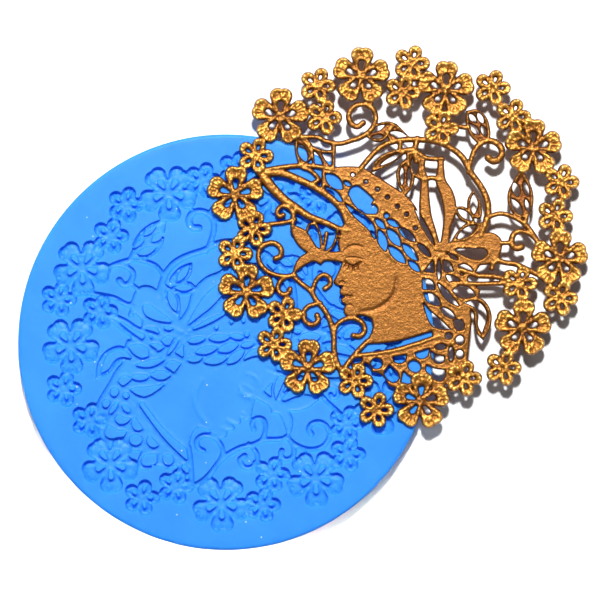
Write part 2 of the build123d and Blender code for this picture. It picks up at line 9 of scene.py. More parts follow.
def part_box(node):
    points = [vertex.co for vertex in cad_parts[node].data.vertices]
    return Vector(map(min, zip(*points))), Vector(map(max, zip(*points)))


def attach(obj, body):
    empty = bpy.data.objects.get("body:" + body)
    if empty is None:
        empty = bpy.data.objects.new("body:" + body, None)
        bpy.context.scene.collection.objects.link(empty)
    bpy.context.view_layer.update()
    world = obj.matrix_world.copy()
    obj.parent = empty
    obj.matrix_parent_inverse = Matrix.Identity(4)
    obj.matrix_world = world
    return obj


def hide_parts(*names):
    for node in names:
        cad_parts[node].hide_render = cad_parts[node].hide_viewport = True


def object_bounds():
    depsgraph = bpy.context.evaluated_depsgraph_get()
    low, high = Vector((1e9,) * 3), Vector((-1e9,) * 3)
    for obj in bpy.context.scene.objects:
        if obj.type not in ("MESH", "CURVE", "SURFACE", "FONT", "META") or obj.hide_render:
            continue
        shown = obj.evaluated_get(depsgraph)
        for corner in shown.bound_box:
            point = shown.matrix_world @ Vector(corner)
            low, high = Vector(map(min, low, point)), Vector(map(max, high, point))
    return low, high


# A blue silicone mould for a resin lace medallion, with the gold casting lying across its edge.
# The patterns are in millimetres in the casting's own frame. Meshes are in metres.

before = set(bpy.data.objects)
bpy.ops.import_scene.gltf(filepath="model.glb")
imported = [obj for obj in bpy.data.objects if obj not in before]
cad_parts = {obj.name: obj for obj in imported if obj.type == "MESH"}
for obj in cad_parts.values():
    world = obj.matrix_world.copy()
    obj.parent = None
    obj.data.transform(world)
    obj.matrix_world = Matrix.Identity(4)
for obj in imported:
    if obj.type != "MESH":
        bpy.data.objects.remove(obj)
cad_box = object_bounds()
MM = 0.001
SEED = 26

# -------------------- sizes, in millimetres
STRAND_TOP = 1.15             # height of a strand's back over the flat underside
AREA_TOP = 1.0                # height of the head, the bow and the other solid areas
LEAF_FLOOR = 0.72             # height of a leaf inside its raised edge
LIP_HEIGHT = 0.12             # how far the edge of an opening is raised
BLOSSOM_TOP = 1.6
BLOSSOM_HEART = 1.0           # height of a blossom's middle
BIG_RELIEF = (1.05, 24.0, 0.15)    # height of a petal's dip, how close its ridges stand, their height
SMALL_RELIEF = (1.25, 14.0, 0.2)
LACE_EDGE, PETAL_EDGE = 0.35, 0.3  # how high an edge starts, as a share of the height inside it
EDGE_ROUNDING = 0.42
PETAL_ROUNDING = 0.6
WALL_HEIGHT = 0.42            # the upright part of the casting's edge
SOFTENING = 0.07              # radius of the blur that softens the relief
BIG_REACH, BIG_LOBE, BIG_SPLIT, BIG_TURN = 6.9, 1.9, 0.85, 15.0
SMALL_REACH, SMALL_LOBE, SMALL_TURN = 4.5, 1.7, -1.0
BIG_HOLE = (1.7, 0.3, 3.1, 0.62)
SMALL_HOLE = (1.75, 0.25, 2.35, 0.33)
PETALS = 5
PETAL_ROOT = 0.75
HEART_RADIUS = 1.0
STRAND_SPREAD = 0.35
CASTING_PLACE = (40.8, 25.4)
CAVITY_TURN = math.radians(144.0)
CAVITY_PLACE = (0.3, -0.9)

# -------------------- places of the blossoms
BIG_BLOSSOMS = [(-27.8, 28.8), (-8.3, 38.6), (12, 35.3), (33, 21.4), (39.3, -5.3),
                (30.5, -22), (6, -39.5), (-21.1, -31.5), (-35.9, -13.3), (-38.6, 10.1)]
SMALL_BLOSSOMS = [(-33.7, 19.4), (-18.8, 36.2), (-17.3, 28.6), (3.8, 41.6), (1.6, 34.6),
                  (10.8, 26), (23.2, 35.7), (28.1, 28.8), (39.7, 13.1), (38.2, 4.9),
                  (29.7, -11.3), (39.4, -14.8), (25.8, -31.5), (16.3, -34), (-4.8, -41.6),
                  (-9.8, -34.6), (-29.3, -25.9), (-26.8, -18.7), (-38.7, -4.1), (-34.2, 1.8)]

# -------------------- strands of the lace
# width at the start, width at the end, points along the middle
STRANDS = {
    "brim_top": (1.0, 0.9, [(-33, 15.6), (-27.4, 16.6), (-23.1, 17), (-18.7, 16.8), (-15, 16)]),
    "brim_middle": (1.7, 1.2, [(-32.5, 15.2), (-27.4, 15.2), (-23.1, 13.6), (-18.7, 11.4),
                               (-15.6, 9.2), (-13.1, 6.6), (-11.6, 3.2)]),
    "brim_front": (2.3, 0.9, [(-31.8, 14.4), (-29.3, 11.3), (-26.6, 8.7), (-24.2, 7.1),
                              (-20.9, 4.9), (-16.6, 3.2), (-13.3, 1.8), (-11, 1.4)]),
    "brim_hook": (0.7, 0.9, [(-22.5, 16.6), (-20.2, 15.6), (-18.6, 13.7), (-19.6, 12.9)]),
    "brim_curl": (0.8, 0.9, [(-24.6, 4.2), (-24.8, 5.8), (-25.8, 7), (-27.6, 7.2),
                             (-28.5, 5.9), (-27.9, 4.8), (-27, 5.2)]),
    "brim_link": (0.8, 0.8, [(-32.5, 2.5), (-30.9, 2.9), (-27.9, 3.2), (-26.1, 3.5), (-24.2, 4.1)]),
    "brim_foot": (0.8, 0.8, [(-24.2, 6.8), (-24.5, 5), (-24.8, 2.2)]),
    "hat_post": (0.9, 0.9, [(-15, 22.6), (-14.9, 20.4)]),
    "sprig_ring": (0.8, 1.1, [(-24.2, -9.3), (-27, -9.5), (-30, -8.8), (-32.2, -7), (-33, -5),
                              (-32.6, -3), (-31.5, -2), (-30, -1.5), (-28.5, -1.9),
                              (-27.5, -3.2), (-27.7, -4.7), (-28.9, -5.3)]),
    "sprig_hook": (0.8, 1.0, [(-24.2, -9.3), (-26.4, -9.8), (-27.9, -11), (-28.3, -12.6),
                              (-27.2, -13.9), (-25.8, -13.6), (-25.4, -12.6)]),
    "sprig_stem": (0.9, 1.2, [(-24.8, -9.2), (-23, -11), (-20.5, -13), (-19, -15.4),
                              (-17, -17.8), (-15.5, -20.9), (-14.9, -23.8), (-14.8, -27.2),
                              (-14.4, -29.5), (-13.4, -31.8), (-12, -33.6)]),
    "sprig_bud": (0.8, 1.0, [(-20, -13.8), (-19.7, -11.9), (-18.7, -10), (-17.2, -9.2),
                             (-15.9, -10), (-15.8, -11.5), (-17, -12.5)]),
    "sprig_loop": (0.8, 1.1, [(-18, -16), (-20.9, -16.7), (-22.1, -18.2), (-21.8, -20.2),
                              (-20.2, -21.2), (-18.6, -20.3), (-18.9, -18.9)]),
    "sprig_tie": (0.8, 0.8, [(-26.5, -18.9), (-24, -18.4), (-21.8, -18.8)]),
    "throat_curl": (0.8, 1.1, [(-14.9, -24.4), (-14.2, -21.3), (-12.2, -19.9), (-9.8, -19.7),
                               (-7.9, -20.9), (-7.5, -22.6), (-8.6, -23.9), (-10.2, -23.8)]),
    "stamen_loop": (0.4, 0.4, [(-17.8, -3), (-18, -0.6), (-18.5, 1.5), (-19.5, 3), (-20.8, 2.8),
                               (-21.3, 1.4)]),
    "stamen_short": (0.3, 0.7, [(-17.2, -3), (-16.9, -1), (-16.6, 0.8)]),
    "stamen_right": (0.4, 0.4, [(-13.9, 1.9), (-14.3, -0.4), (-15.2, -2.4), (-16.9, -4)]),
    "top_stem": (0.8, 1.1, [(-26, 24.6), (-23.5, 24), (-18.7, 23.8), (-16.8, 22.9),
                            (-13.7, 22.3), (-10.5, 23.1), (-7.7, 24.2), (-5.7, 26),
                            (-4.8, 28.3), (-5.3, 30.3), (-7, 31.6), (-9.2, 31.6),
                            (-10.8, 30.4), (-11.3, 28.6), (-10.6, 27), (-9.2, 26.4),
                            (-7.8, 27.3)]),
    "top_tie": (0.9, 0.9, [(-7.4, 35.4), (-6.3, 34), (-5.9, 32.6), (-6.2, 31)]),
    "crown_arch": (1.0, 1.4, [(-9.2, 15.4), (-6.4, 18.8), (-4, 21.2), (-1.3, 22.6), (1.7, 23.2),
                              (5, 23.3), (9.1, 22.9), (11.9, 22), (14.7, 20.3), (16.3, 18.6),
                              (18, 15.4), (19.8, 12.9), (21.3, 10.4), (22.1, 8), (22.2, 5.6),
                              (21.5, 3), (20.4, 0.2)]),
    "arch_tie": (0.9, 0.9, [(1.4, 20.4), (4.2, 20.7), (7.2, 18.9), (11.2, 18.6)]),
    "arch_post_left": (0.9, 0.9, [(1.1, 23.2), (1, 20.3)]),
    "arch_post": (1.2, 1.0, [(5.2, 23.5), (4.6, 20.8), (4.9, 18)]),
    "ribbon_hem": (0.9, 0.9, [(6.4, 13.6), (8.6, 14.1), (11, 13.6)]),
    "right_stem": (0.8, 1.0, [(21.6, 4.4), (25, 5.5), (28, 4.8), (31, 3), (33, 0.5), (34.6, -2.2)]),
    "right_curl": (0.8, 1.4, [(33.6, -0.6), (32.2, 0.6), (30.4, 1.2), (28.7, 0.9),
                              (27.9, -0.5), (28, -2.1), (29, -2.8), (30.2, -2.5)]),
    "curl_link": (0.8, 0.8, [(25.2, -1.6), (27.9, -1.5)]),
    "upper_curl": (0.9, 1.5, [(17.4, 15.4), (18.1, 18.4), (19.1, 20.9), (20.6, 22.5),
                              (22.6, 23), (24.6, 22.2), (25.6, 20.3), (24.9, 18.7),
                              (23.5, 18.1), (22.2, 18.9)]),
    "upper_tie": (0.9, 0.9, [(12, 26.2), (14.9, 26.4), (17.5, 26.1)]),
    "low_stem": (0.9, 0.9, [(13.5, -11.2), (20, -11.4), (26, -11.2), (29.4, -11)]),
    "bow_stem": (1.0, 1.0, [(23.6, -5.6), (26.4, -6.3), (28.6, -6.6), (31, -7.6), (33.8, -9)]),
    "net_stem": (1.0, 1.0, [(15.5, -8), (20, -9.4), (23.5, -9.6), (27, -10.4)]),
    "bow_curl": (0.8, 1.1, [(24.8, -5.6), (23.5, -6.4), (23.1, -7.6)]),
    "leaf_stalk": (0.9, 0.9, [(31.4, 5), (31, 2.6)]),
    "collar": (0.95, 0.95, [(-10, -28.7), (-5, -28.2), (0, -27.3), (5, -25.8), (10.6, -23.9)]),
    "strap": (1.0, 1.0, [(-12.4, -31.6), (-10.6, -29.3), (-8.9, -27.3), (-6.8, -25.2)]),
}

# -------------------- leaves and solid areas
# each outline is a list of curves, and each curve runs on to the first point of the next
SHEETS = {
    "head": [
        [(-17.8, 16.4), (-12, 16.9), (-8.2, 16.6), (-5, 14.9), (-1.8, 12.8), (1, 11),
         (3.2, 9.2), (4.9, 7), (6, 4), (7.6, 0.7)],
        [(9.8, -2.4), (8.6, -5.6)],
        [(6.6, -9.3), (6.3, -13), (7, -17), (8.2, -20.5)],
        [(9.2, -22.7), (0, -25.3)],
        [(-8.2, -26), (-6.4, -24), (-5.6, -21.6)],
        [(-5.9, -19.8), (-8.2, -19)],
        [(-10.2, -19.4), (-11.9, -19.1), (-12.6, -17.8)],
        [(-12.1, -16.4), (-12.9, -15.9), (-13.2, -15.1)],
        [(-12.4, -14.4), (-13.3, -13.9), (-13.5, -13)],
        [(-12.9, -12), (-14.4, -11.7), (-14.9, -10.8), (-14.2, -9.2), (-13.2, -7),
         (-12.9, -5.2), (-13.6, -3.2), (-13.9, -0.8)],
        [(-13.2, 1.8), (-12.2, 4.4), (-13.6, 7.4), (-15.9, 9.6)],
        [(-18, 11.4)],
    ],
    "lily": [
        [(-25, 3.1), (-25.2, 1.4), (-24.4, -0.8), (-23.1, -2.6)],
        [(-21.5, -3.9), (-23.2, -5), (-24.4, -7)],
        [(-25, -9.6), (-22.6, -7.6), (-21, -6.6), (-19.6, -6.1)],
        [(-18, -6.9), (-17, -6), (-15.2, -6)],
        [(-12.4, -6.4)],
        [(-12.6, -3.4), (-15.4, -3.6), (-17.4, -3.2)],
        [(-19, -2.4), (-20.2, -0.4), (-21.6, 1.5)],
    ],
    "bow": [
        [(9, -1.2), (13.4, -1.4), (17.3, -0.1), (20.6, 0.9), (23.4, 0.9), (25.2, -0.4),
         (25.6, -2.2), (25.2, -4.2), (24.5, -6.1), (22, -6.8), (19.5, -6.9), (16.5, -6),
         (13, -4.2)],
        [(9.4, -3.6), (8.2, -2.6)],
    ],
    "ribbon_left": [
        [(5.5, 19), (5.4, 16.6), (5.9, 13.6), (5.7, 10), (5.6, 7), (5.9, 4.4), (7, 1.4)],
        [(8.6, -1.8)],
        [(10.6, -1.6), (9.7, 1.6), (8.7, 5), (8.3, 8), (8, 11), (7.9, 13.6), (7.1, 16.4)],
        [(7.3, 19)],
    ],
    "ribbon_right": [
        [(10.6, -2), (11.1, 1), (11.4, 4), (11.3, 7), (10.6, 10), (9.5, 13.4), (9.9, 16)],
        [(10, 19)],
        [(11.6, 19), (11.7, 16), (12.1, 13.6), (13.6, 11.2), (14.5, 8.3), (14.4, 5.2),
         (13.2, 1.8)],
        [(13, -2.4)],
    ],
    "net": [
        [(8.8, -3.2), (12, -4), (17, -5.6)],
        [(20.6, -6.4), (18.4, -10.8)],
        [(20.4, -12.9), (19.6, -15.4), (18.2, -17.6), (18.3, -20.5), (17.9, -24), (17.6, -27.5)],
        [(17.2, -31), (13.6, -34), (11, -36.4)],
        [(8.5, -37), (8.6, -30)],
        [(8.8, -24), (8.4, -21.6), (7.2, -18), (6, -14.5), (5.7, -10.8)],
        [(5.9, -8.6), (7.2, -5.6)],
    ],
    "bodice": [
        [(-9.4, -28.8), (-4, -28.2), (2, -27)],
        [(10, -24.4), (11, -28)],
        [(10.8, -33.5), (6, -36)],
        [(1.2, -36.4), (-1.5, -36), (-3, -33.6), (-5.4, -32.6), (-8, -32.8)],
        [(-10.8, -31)],
    ],
    "tail_leaf": [
        [(15.8, -15.6), (18.6, -14.6), (20.8, -15), (22.4, -16.8), (23.1, -19.3),
         (22.6, -22.2)],
        [(21, -25), (19.5, -23.4), (18.8, -20.6), (18.6, -18.4), (17.4, -16.8)],
    ],
    "crown_leaf_outer": [
        [(-6.2, 15.2), (-4.8, 18.4), (-2.4, 20.1), (0.4, 21)],
        [(5, 21.8), (2.2, 19.9), (0.2, 18.2), (-1.8, 16.8)],
    ],
    "crown_leaf_middle": [
        [(2.4, 18.8), (0.3, 16.3), (0.2, 13.4)],
        [(2.2, 9.4), (4.3, 12.4), (4.4, 15.8)],
    ],
    "crown_leaf_inner": [
        [(2.4, 20.2), (4.8, 20.3), (6, 18.6), (6.2, 16)],
        [(7, 13), (4.6, 14.2), (3.1, 15.6), (2.6, 17.8)],
    ],
    "top_leaf": [
        [(-7.4, 24), (-5.8, 26.2), (-4, 27.3), (-1.8, 27.7)],
        [(0.2, 27.1), (-1.4, 24.9), (-2.6, 23.2), (-4.6, 22.6)],
    ],
    "top_leaf_lobe": [
        [(-3, 25.2), (-1.6, 26.6)],
        [(0.2, 27.1), (1.9, 25.4)],
        [(4.2, 23), (1.4, 22.9)],
        [(-1.4, 22.4), (-2, 23.8)],
    ],
    "hat_leaf_left": [
        [(-24.2, 24.2), (-24.3, 20.8)],
        [(-23.3, 16.7), (-20.4, 18.4), (-19.8, 21.4), (-21.4, 23.6)],
    ],
    "hat_leaf_right": [
        [(-23.2, 23.8), (-20.8, 20.4)],
        [(-19.8, 16.5)],
        [(-14.5, 16)],
        [(-14.5, 20.8), (-18.2, 21), (-20.6, 22.3)],
    ],
    "right_leaf": [
        [(31.4, 4.2), (28.6, 5), (27, 7.6), (26.9, 10.6), (28, 13)],
        [(30, 16.4), (32.2, 13), (33.1, 9.8), (32.8, 6.6)],
    ],
    "upper_leaf": [
        [(16.9, 30.2), (16.8, 27.2), (18, 24)],
        [(20.6, 21.6), (22.6, 23.6), (22.6, 26.4), (21.6, 29), (19.4, 30.6)],
    ],
    "arch_leaf_tip": [
        [(18.6, 11.4), (17.3, 9.2), (17.1, 7)],
        [(17.6, 4.6), (20.4, 4.4), (20.6, 7.7), (19.9, 9.6)],
    ],
    "arch_leaf_mid": [
        [(13.8, 7.1), (16.4, 7.2), (18.4, 5.4)],
        [(19.3, 2.8), (16.4, 3.4), (14.9, 4.6)],
    ],
    "arch_leaf_low": [
        [(13, -1.6), (14.6, 1), (16.8, 3.1)],
        [(20.8, 3.4), (19.8, 1), (17.4, -0.7)],
    ],
}

# -------------------- openings in those areas
# leaf-shaped openings: tip, tip, greatest width
LEAF_HOLES = [
    ((-16.8, 15), (-12.8, 11.4), 2.6), ((-17, 11.9), (-12.8, 8.4), 1.7),
    ((-12.4, 13.2), (-10.8, 12.2), 0.9), ((-4.9, 4.3), (-2.6, 1.9), 1.3),
    ((-2.1, 4), (0.9, 2.4), 1.3), ((-4, 1.6), (-2.4, -3.5), 2), ((-2, 1.9), (1.1, -2.3), 2),
    ((0.7, 2.1), (4.7, -1.2), 1.7), ((-1.7, -2.3), (2.3, -6.4), 2), ((1.6, -1.7), (5.3, -5.8), 1.8),
    ((3.1, -5.8), (5.7, -8.4), 1.4), ((5.3, -1.7), (8.3, -4.8), 1.3), ((12.9, -4.4), (14.9, -5.5), 0.7),
    ((-3.8, 17), (1.6, 20.2), 1), ((1.5, 16.8), (1.5, 12.4), 0.9), ((3.2, 16.6), (3.1, 12), 0.8),
    ((4.4, 19.4), (4.8, 15), 1.7), ((-6.1, 24.9), (-2.6, 26.8), 1), ((-5.6, 23.9), (-3, 24.1), 0.8),
    ((-1.4, 25), (2.8, 23.8), 1.5), ((-23.2, 22.2), (-21.5, 18), 1.9),
    ((28.4, 13), (29.4, 9.6), 1.6), ((27.8, 9), (30.3, 5.2), 1.7),
    ((30.8, 13.2), (31.8, 9.6), 1.2), ((31.2, 9), (32, 5.8), 0.9), ((17.7, 29.4), (19.3, 27.3), 1.2),
    ((17.7, 27.1), (20, 24.4), 1.3), ((19.7, 29.7), (21, 27.2), 1.2), ((20.6, 26.7), (21.6, 24.1), 1.1),
    ((18.8, 10.2), (18.8, 5.4), 1.7), ((14.9, 6.5), (18.4, 3.9), 1.5), ((14.8, -0.5), (19.2, 2.6), 1.9),
    ((10.4, -5.6), (10.4, -10.4), 0.9), ((4.7, 6.6), (9.4, -2.2), 0.9), ((10.8, -17.1), (14.3, -19.7), 1.5),
    ((-7.4, -30.4), (-6, -33.3), 1.5),
]
# oval openings: centre, length, width, turn in degrees
OVAL_HOLES = [
    ((-10.3, 14.8), 0.8, 0.8, 0), ((-7.2, 13.1), 0.8, 0.8, 0), ((-4.4, 11.3), 0.8, 0.8, 0),
    ((-2, 9.4), 0.8, 0.8, 0), ((0.4, 7.2), 0.8, 0.8, 0), ((2.6, 5.3), 0.8, 0.8, 0),
    ((4.7, 2), 0.8, 0.8, 0), ((-2.2, 5), 1.1, 1.1, 0),
    ((12.7, -23.9), 1.5, 1.4, 0), ((15.4, -24.9), 1.9, 2.1, 0), ((10.8, -26.5), 2.3, 1.2, 5),
    ((15.4, -28.3), 1.7, 2, 0), ((13.3, -28.2), 1.1, 3.2, 0), ((18.1, -10.2), 1.5, 1.3, 0),
    ((-9.3, -29.6), 2.3, 1.8, 20), ((-4.6, -30.5), 2.6, 2.4, 0), ((4.5, -31.2), 3, 2.5, -35),
]
FREE_HOLES = {
    "kidney": [[(-11.3, 10.2), (-10.7, 11.6), (-9.4, 12.1), (-7.4, 10.8)],
               [(-5.4, 8.9)],
               [(-6.1, 7.6), (-5.1, 7.5), (-4.4, 6.6)],
               [(-4.7, 5.5), (-7.5, 5.7), (-9.8, 7.6)]],
    "crown_wave": [[(-12.2, 8), (-10.6, 5.6), (-8.3, 3.4), (-6.4, 1.6)],
                   [(-5, -0.6), (-5.2, 2.2), (-7, 4.5), (-9.6, 6.2)]],
    "bow_eye": [[(14.3, -3.2), (18.2, -3), (21.4, -3.2), (21.9, -4.1), (20.6, -5.4),
                 (18.4, -5.3), (16.1, -4.4)]],
    "ear_gap": [[(6.9, -8.4)], [(8.9, -5.8)], [(9.2, -8.6)]],
    "scale_upper": [[(-0.7, -29)],
                    [(2.5, -28.4), (2.2, -29.8), (1, -30.4), (-0.2, -30)]],
    "scale_right": [[(4.7, -28)],
                    [(8, -27), (7.6, -28.6), (6.3, -29.3), (5.2, -28.9)]],
    "scale_lower": [[(-1.5, -30.9)],
                    [(0.4, -32.7), (0.7, -34), (-0.3, -35), (-1.7, -34.4), (-2.7, -32.8)]],
    "scale_hem": [[(1.9, -32.4), (3.2, -33.6)],
                  [(4.8, -33.8), (4.3, -34.9), (2.8, -35.3)],
                  [(1.3, -35)]],
    "scale_side": [[(7.5, -30.9), (9.4, -31.8)],
                   [(11.8, -32.1), (11.8, -33.5), (11, -34.6), (9.6, -34.4), (8.2, -33),
                    (7.3, -32.1)]],
    "scale_braid": [[(8.4, -27.6), (9.8, -28.5)],
                    [(11.6, -28.8), (11.4, -30.1), (10, -30.4), (8.8, -29.3)]],
    "hat_slot_left": [[(-19.6, 20.5), (-18.3, 19)],
                      [(-17.5, 17.1)], [(-19.4, 17.1)]],
    "hat_slot_right": [[(-17.7, 19.9)], [(-15.5, 19.7), (-15.4, 18)],
                       [(-15.8, 17), (-16.9, 18.5)]],
    "braid_nape": [[(6.5, -10.1), (8.2, -10.5), (9.1, -11.4)],
                   [(9.2, -12.7)], [(6.6, -12.6)]],
    "braid_nape_low": [[(6.8, -13.6)], [(8.8, -13.8), (10.1, -14.9)],
                       [(10.8, -16.6), (8.9, -16.3), (7.5, -15.3)]],
    "braid_neck": [[(6.7, -15.9), (7.3, -18.3), (8.1, -20.3)],
                   [(9, -21.6), (10.9, -22.2)],
                   [(12.9, -22.2), (11.2, -20.5), (9.2, -18.8), (7.7, -17.3)]],
    "braid_long": [[(10.1, -11.2), (12, -12.7), (13.6, -14.6)],
                   [(15.3, -16.8), (12.8, -15.6), (11.1, -13.7)]],
    "braid_back": [[(13.8, -13), (15, -12), (17, -12.1), (18.4, -13.1)],
                   [(19, -14.2), (17, -14.7), (15, -14.4)]],
    "braid_crown": [[(12, -9.2), (14.2, -9.7)],
                    [(16.1, -11.3), (14, -11.3), (12.7, -10.6)]],
    "braid_top": [[(11.5, -5.8), (12.9, -6.3)], [(13.7, -8.2), (12.2, -8.5)],
                  [(11.4, -8)]],
    "braid_curl": [[(15.1, -7), (16.6, -6.7), (18.3, -7.9)],
                   [(18.6, -9.3), (17, -8.6), (15.9, -9.3)]],
    "braid_end": [[(13.9, -20.1)], [(15.7, -20), (16.3, -21.2)],
                  [(16.2, -22.3), (14.7, -22.4)]],
    "tail_slot": [[(16.8, -15.9), (18.5, -15.5), (20.1, -15.9), (21.5, -17.6), (21.8, -19.4)],
                  [(20.7, -23.2), (19.8, -21.3), (19.9, -19), (19.1, -17.2)]],
}

# -------------------- the drawing field
# Every feature of the lace is drawn on one fine grid that holds, at each point, how far inside the
# lace it is and how high the relief stands there.
FIELD_HALF = 48.0
FIELD_STEP = 0.1
MARGIN = 0.9                  # how far round a feature its distance is worked out
OVERHANG = 0.2                # how far past its outline a feature's height still counts
FAR_OUTSIDE = -9.0
NOISE_CELLS = 256
AREAS_BOX = ((-26, -38), (34, 32))


def smooth_curve(points, steps=10):
    """Points along a smooth curve through the given ones."""
    if len(points) == 2:
        return np.array(points, float)
    known = np.array(points, float)
    if np.allclose(known[0], known[-1]):
        before, after = known[-2], known[1]
    else:
        before, after = 2 * known[0] - known[1], 2 * known[-1] - known[-2]
    known = np.vstack([before, known, after])
    pieces = []
    for start in range(len(known) - 3):
        a, b, c, d = known[start:start + 4]
        t1 = math.sqrt(math.dist(a, b))
        t2 = t1 + math.sqrt(math.dist(b, c))
        t3 = t2 + math.sqrt(math.dist(c, d))
        t = np.linspace(t1, t2, steps, endpoint=False)[:, None]
        ab = a + (b - a) * t / t1
        bc = b + (c - b) * (t - t1) / (t2 - t1)
        cd = c + (d - c) * (t - t2) / (t3 - t2)
        abc = ab + (bc - ab) * t / t2
        bcd = bc + (cd - bc) * (t - t1) / (t3 - t1)
        pieces.append(abc + (bcd - abc) * (t - t1) / (t2 - t1))
    return np.vstack(pieces + [known[-2:-1]])


def closed_outline(curves):
    """One closed polygon from curves that each run on to the first point of the next."""
    ends = [following[0] for following in curves[1:] + curves[:1]]
    return np.vstack([smooth_curve([*points, end])[:-1] for points, end in zip(curves, ends)])


def path_distance(x, y, path):
    """Distance to a path, and how far along it the nearest point is, from 0 to 1."""
    nearest = np.full(x.shape, 1e9)
    along = np.zeros(x.shape)
    lengths = np.hypot(*np.diff(path, axis=0).T)
    done = 0.0
    for (ax, ay), (bx, by), length in zip(path[:-1], path[1:], lengths):
        if length < 1e-9:
            continue
        t = np.clip(((x - ax) * (bx - ax) + (y - ay) * (by - ay)) / length ** 2, 0, 1)
        gap = np.hypot(x - ax - t * (bx - ax), y - ay - t * (by - ay))
        closer = gap < nearest
        nearest = np.where(closer, gap, nearest)
        along = np.where(closer, (done + t * length) / lengths.sum(), along)
        done += length
    return nearest, along


def inside_polygon(x, y, path):
    """Distance inside a closed polygon, negative outside it."""
    ring = np.vstack([path, path[:1]])
    gap, _ = path_distance(x, y, ring)
    inside = np.zeros(x.shape, bool)
    for (ax, ay), (bx, by) in zip(ring[:-1], ring[1:]):
        if ay != by:
            crosses = (ay > y) != (by > y)
            inside ^= crosses & (x < (bx - ax) * (y - ay) / (by - ay) + ax)
    return np.where(inside, gap, -gap)


def inside_teardrop(x, y, near, near_radius, far, far_radius):
    """Distance inside two circles on the x axis joined by their outer tangents."""
    span = far - near
    lean = (near_radius - far_radius) / span
    rise = math.sqrt(1 - lean ** 2)
    px, py = x - near, np.abs(y)
    body = px * lean + py * rise - near_radius
    low = np.hypot(px, py) - near_radius
    high = np.hypot(px - span, py) - far_radius
    along = px * rise - py * lean
    return -np.where(along < 0, low, np.where(along > span * rise, high, body))


def inside_leaf(x, y, tip, other_tip, width):
    """Distance inside the shape between two equal arcs."""
    tip, other_tip = np.array(tip, float), np.array(other_tip, float)
    half = math.dist(tip, other_tip) / 2
    radius = (half ** 2 + (width / 2) ** 2) / width
    ux, uy = (other_tip - tip) / (2 * half)
    mx, my = (tip + other_tip) / 2
    across = np.abs(-(x - mx) * uy + (y - my) * ux)
    along = (x - mx) * ux + (y - my) * uy
    return radius - np.hypot(along, across + radius - width / 2)


def inside_oval(x, y, centre, length, width, turn):
    """About the distance inside an ellipse."""
    c, s = math.cos(math.radians(turn)), math.sin(math.radians(turn))
    u = (x - centre[0]) * c + (y - centre[1]) * s
    v = (y - centre[1]) * c - (x - centre[0]) * s
    return (1 - np.hypot(u / (length / 2), v / (width / 2))) * min(length, width) / 2


def dome(share, start):
    """A quarter circle's rise, from start at 0 to 1 at 1 and beyond."""
    return start + (1 - start) * np.sqrt(1 - (1 - np.clip(share, 0, 1)) ** 2)


def hump(distance, middle, width):
    """A smooth hump, 1 high at its middle."""
    return np.exp(-((distance - middle) / width) ** 2)


class Field:
    """How far inside the lace each grid point is, and how high the relief stands there."""

    def __init__(self):
        self.axis = np.arange(-FIELD_HALF, FIELD_HALF + FIELD_STEP / 2, FIELD_STEP)
        size = len(self.axis)
        self.inside = np.full((size, size), -MARGIN)
        self.height = np.zeros((size, size))
        self.petals = np.zeros((size, size))

    def window(self, low, high):
        """The part of the grid round a box, and its x and y."""
        first = np.floor((np.array(low) - MARGIN + FIELD_HALF) / FIELD_STEP).astype(int)
        last = np.ceil((np.array(high) + MARGIN + FIELD_HALF) / FIELD_STEP).astype(int)
        cells = np.s_[max(first[1], 0):last[1], max(first[0], 0):last[0]]
        x, y = np.meshgrid(self.axis[cells[1]], self.axis[cells[0]])
        return cells, x, y

    def add(self, cells, inside, height):
        self.inside[cells] = np.maximum(self.inside[cells], inside)
        self.height[cells] = np.maximum(self.height[cells], np.where(inside > -OVERHANG, height, 0))


def add_strands(field):
    for start_width, end_width, points in STRANDS.values():
        path = smooth_curve(points)
        cells, x, y = field.window(path.min(0), path.max(0))
        gap, along = path_distance(x, y, path)
        half = (start_width + (end_width - start_width) * along + STRAND_SPREAD) / 2
        inside = half - gap
        field.add(cells, inside, STRAND_TOP * dome(inside / half, LACE_EDGE))


def add_areas(field):
    """The head, hair, bow, bodice and leaves, with their openings and a low rounded edge."""
    cells, x, y = field.window(*AREAS_BOX)
    inside = np.full(x.shape, -MARGIN)
    height = np.zeros(x.shape)
    for name, curves in SHEETS.items():
        outline = closed_outline(curves)
        part, px, py = field.window(outline.min(0), outline.max(0))
        local = np.s_[part[0].start - cells[0].start:part[0].stop - cells[0].start,
                      part[1].start - cells[1].start:part[1].stop - cells[1].start]
        depth = inside_polygon(px, py, outline)
        plain = np.full(px.shape, AREA_TOP)
        if "leaf" in name:
            plain = LEAF_FLOOR + (STRAND_TOP - LEAF_FLOOR) * hump(depth, 0.4, 0.3)
        inside[local] = np.maximum(inside[local], depth)
        height[local] = np.maximum(height[local], np.where(depth > -OVERHANG, plain, 0))
    opening = np.full(x.shape, FAR_OUTSIDE)
    for hole in LEAF_HOLES:
        opening = np.maximum(opening, inside_leaf(x, y, *hole))
    for hole in OVAL_HOLES:
        opening = np.maximum(opening, inside_oval(x, y, *hole))
    for curves in FREE_HOLES.values():
        opening = np.maximum(opening, inside_polygon(x, y, closed_outline(curves)))
    inside = np.minimum(inside, -opening)
    height = height + LIP_HEIGHT * hump(opening, -0.35, 0.22)
    field.add(cells, inside, height * dome(inside / EDGE_ROUNDING, LACE_EDGE))


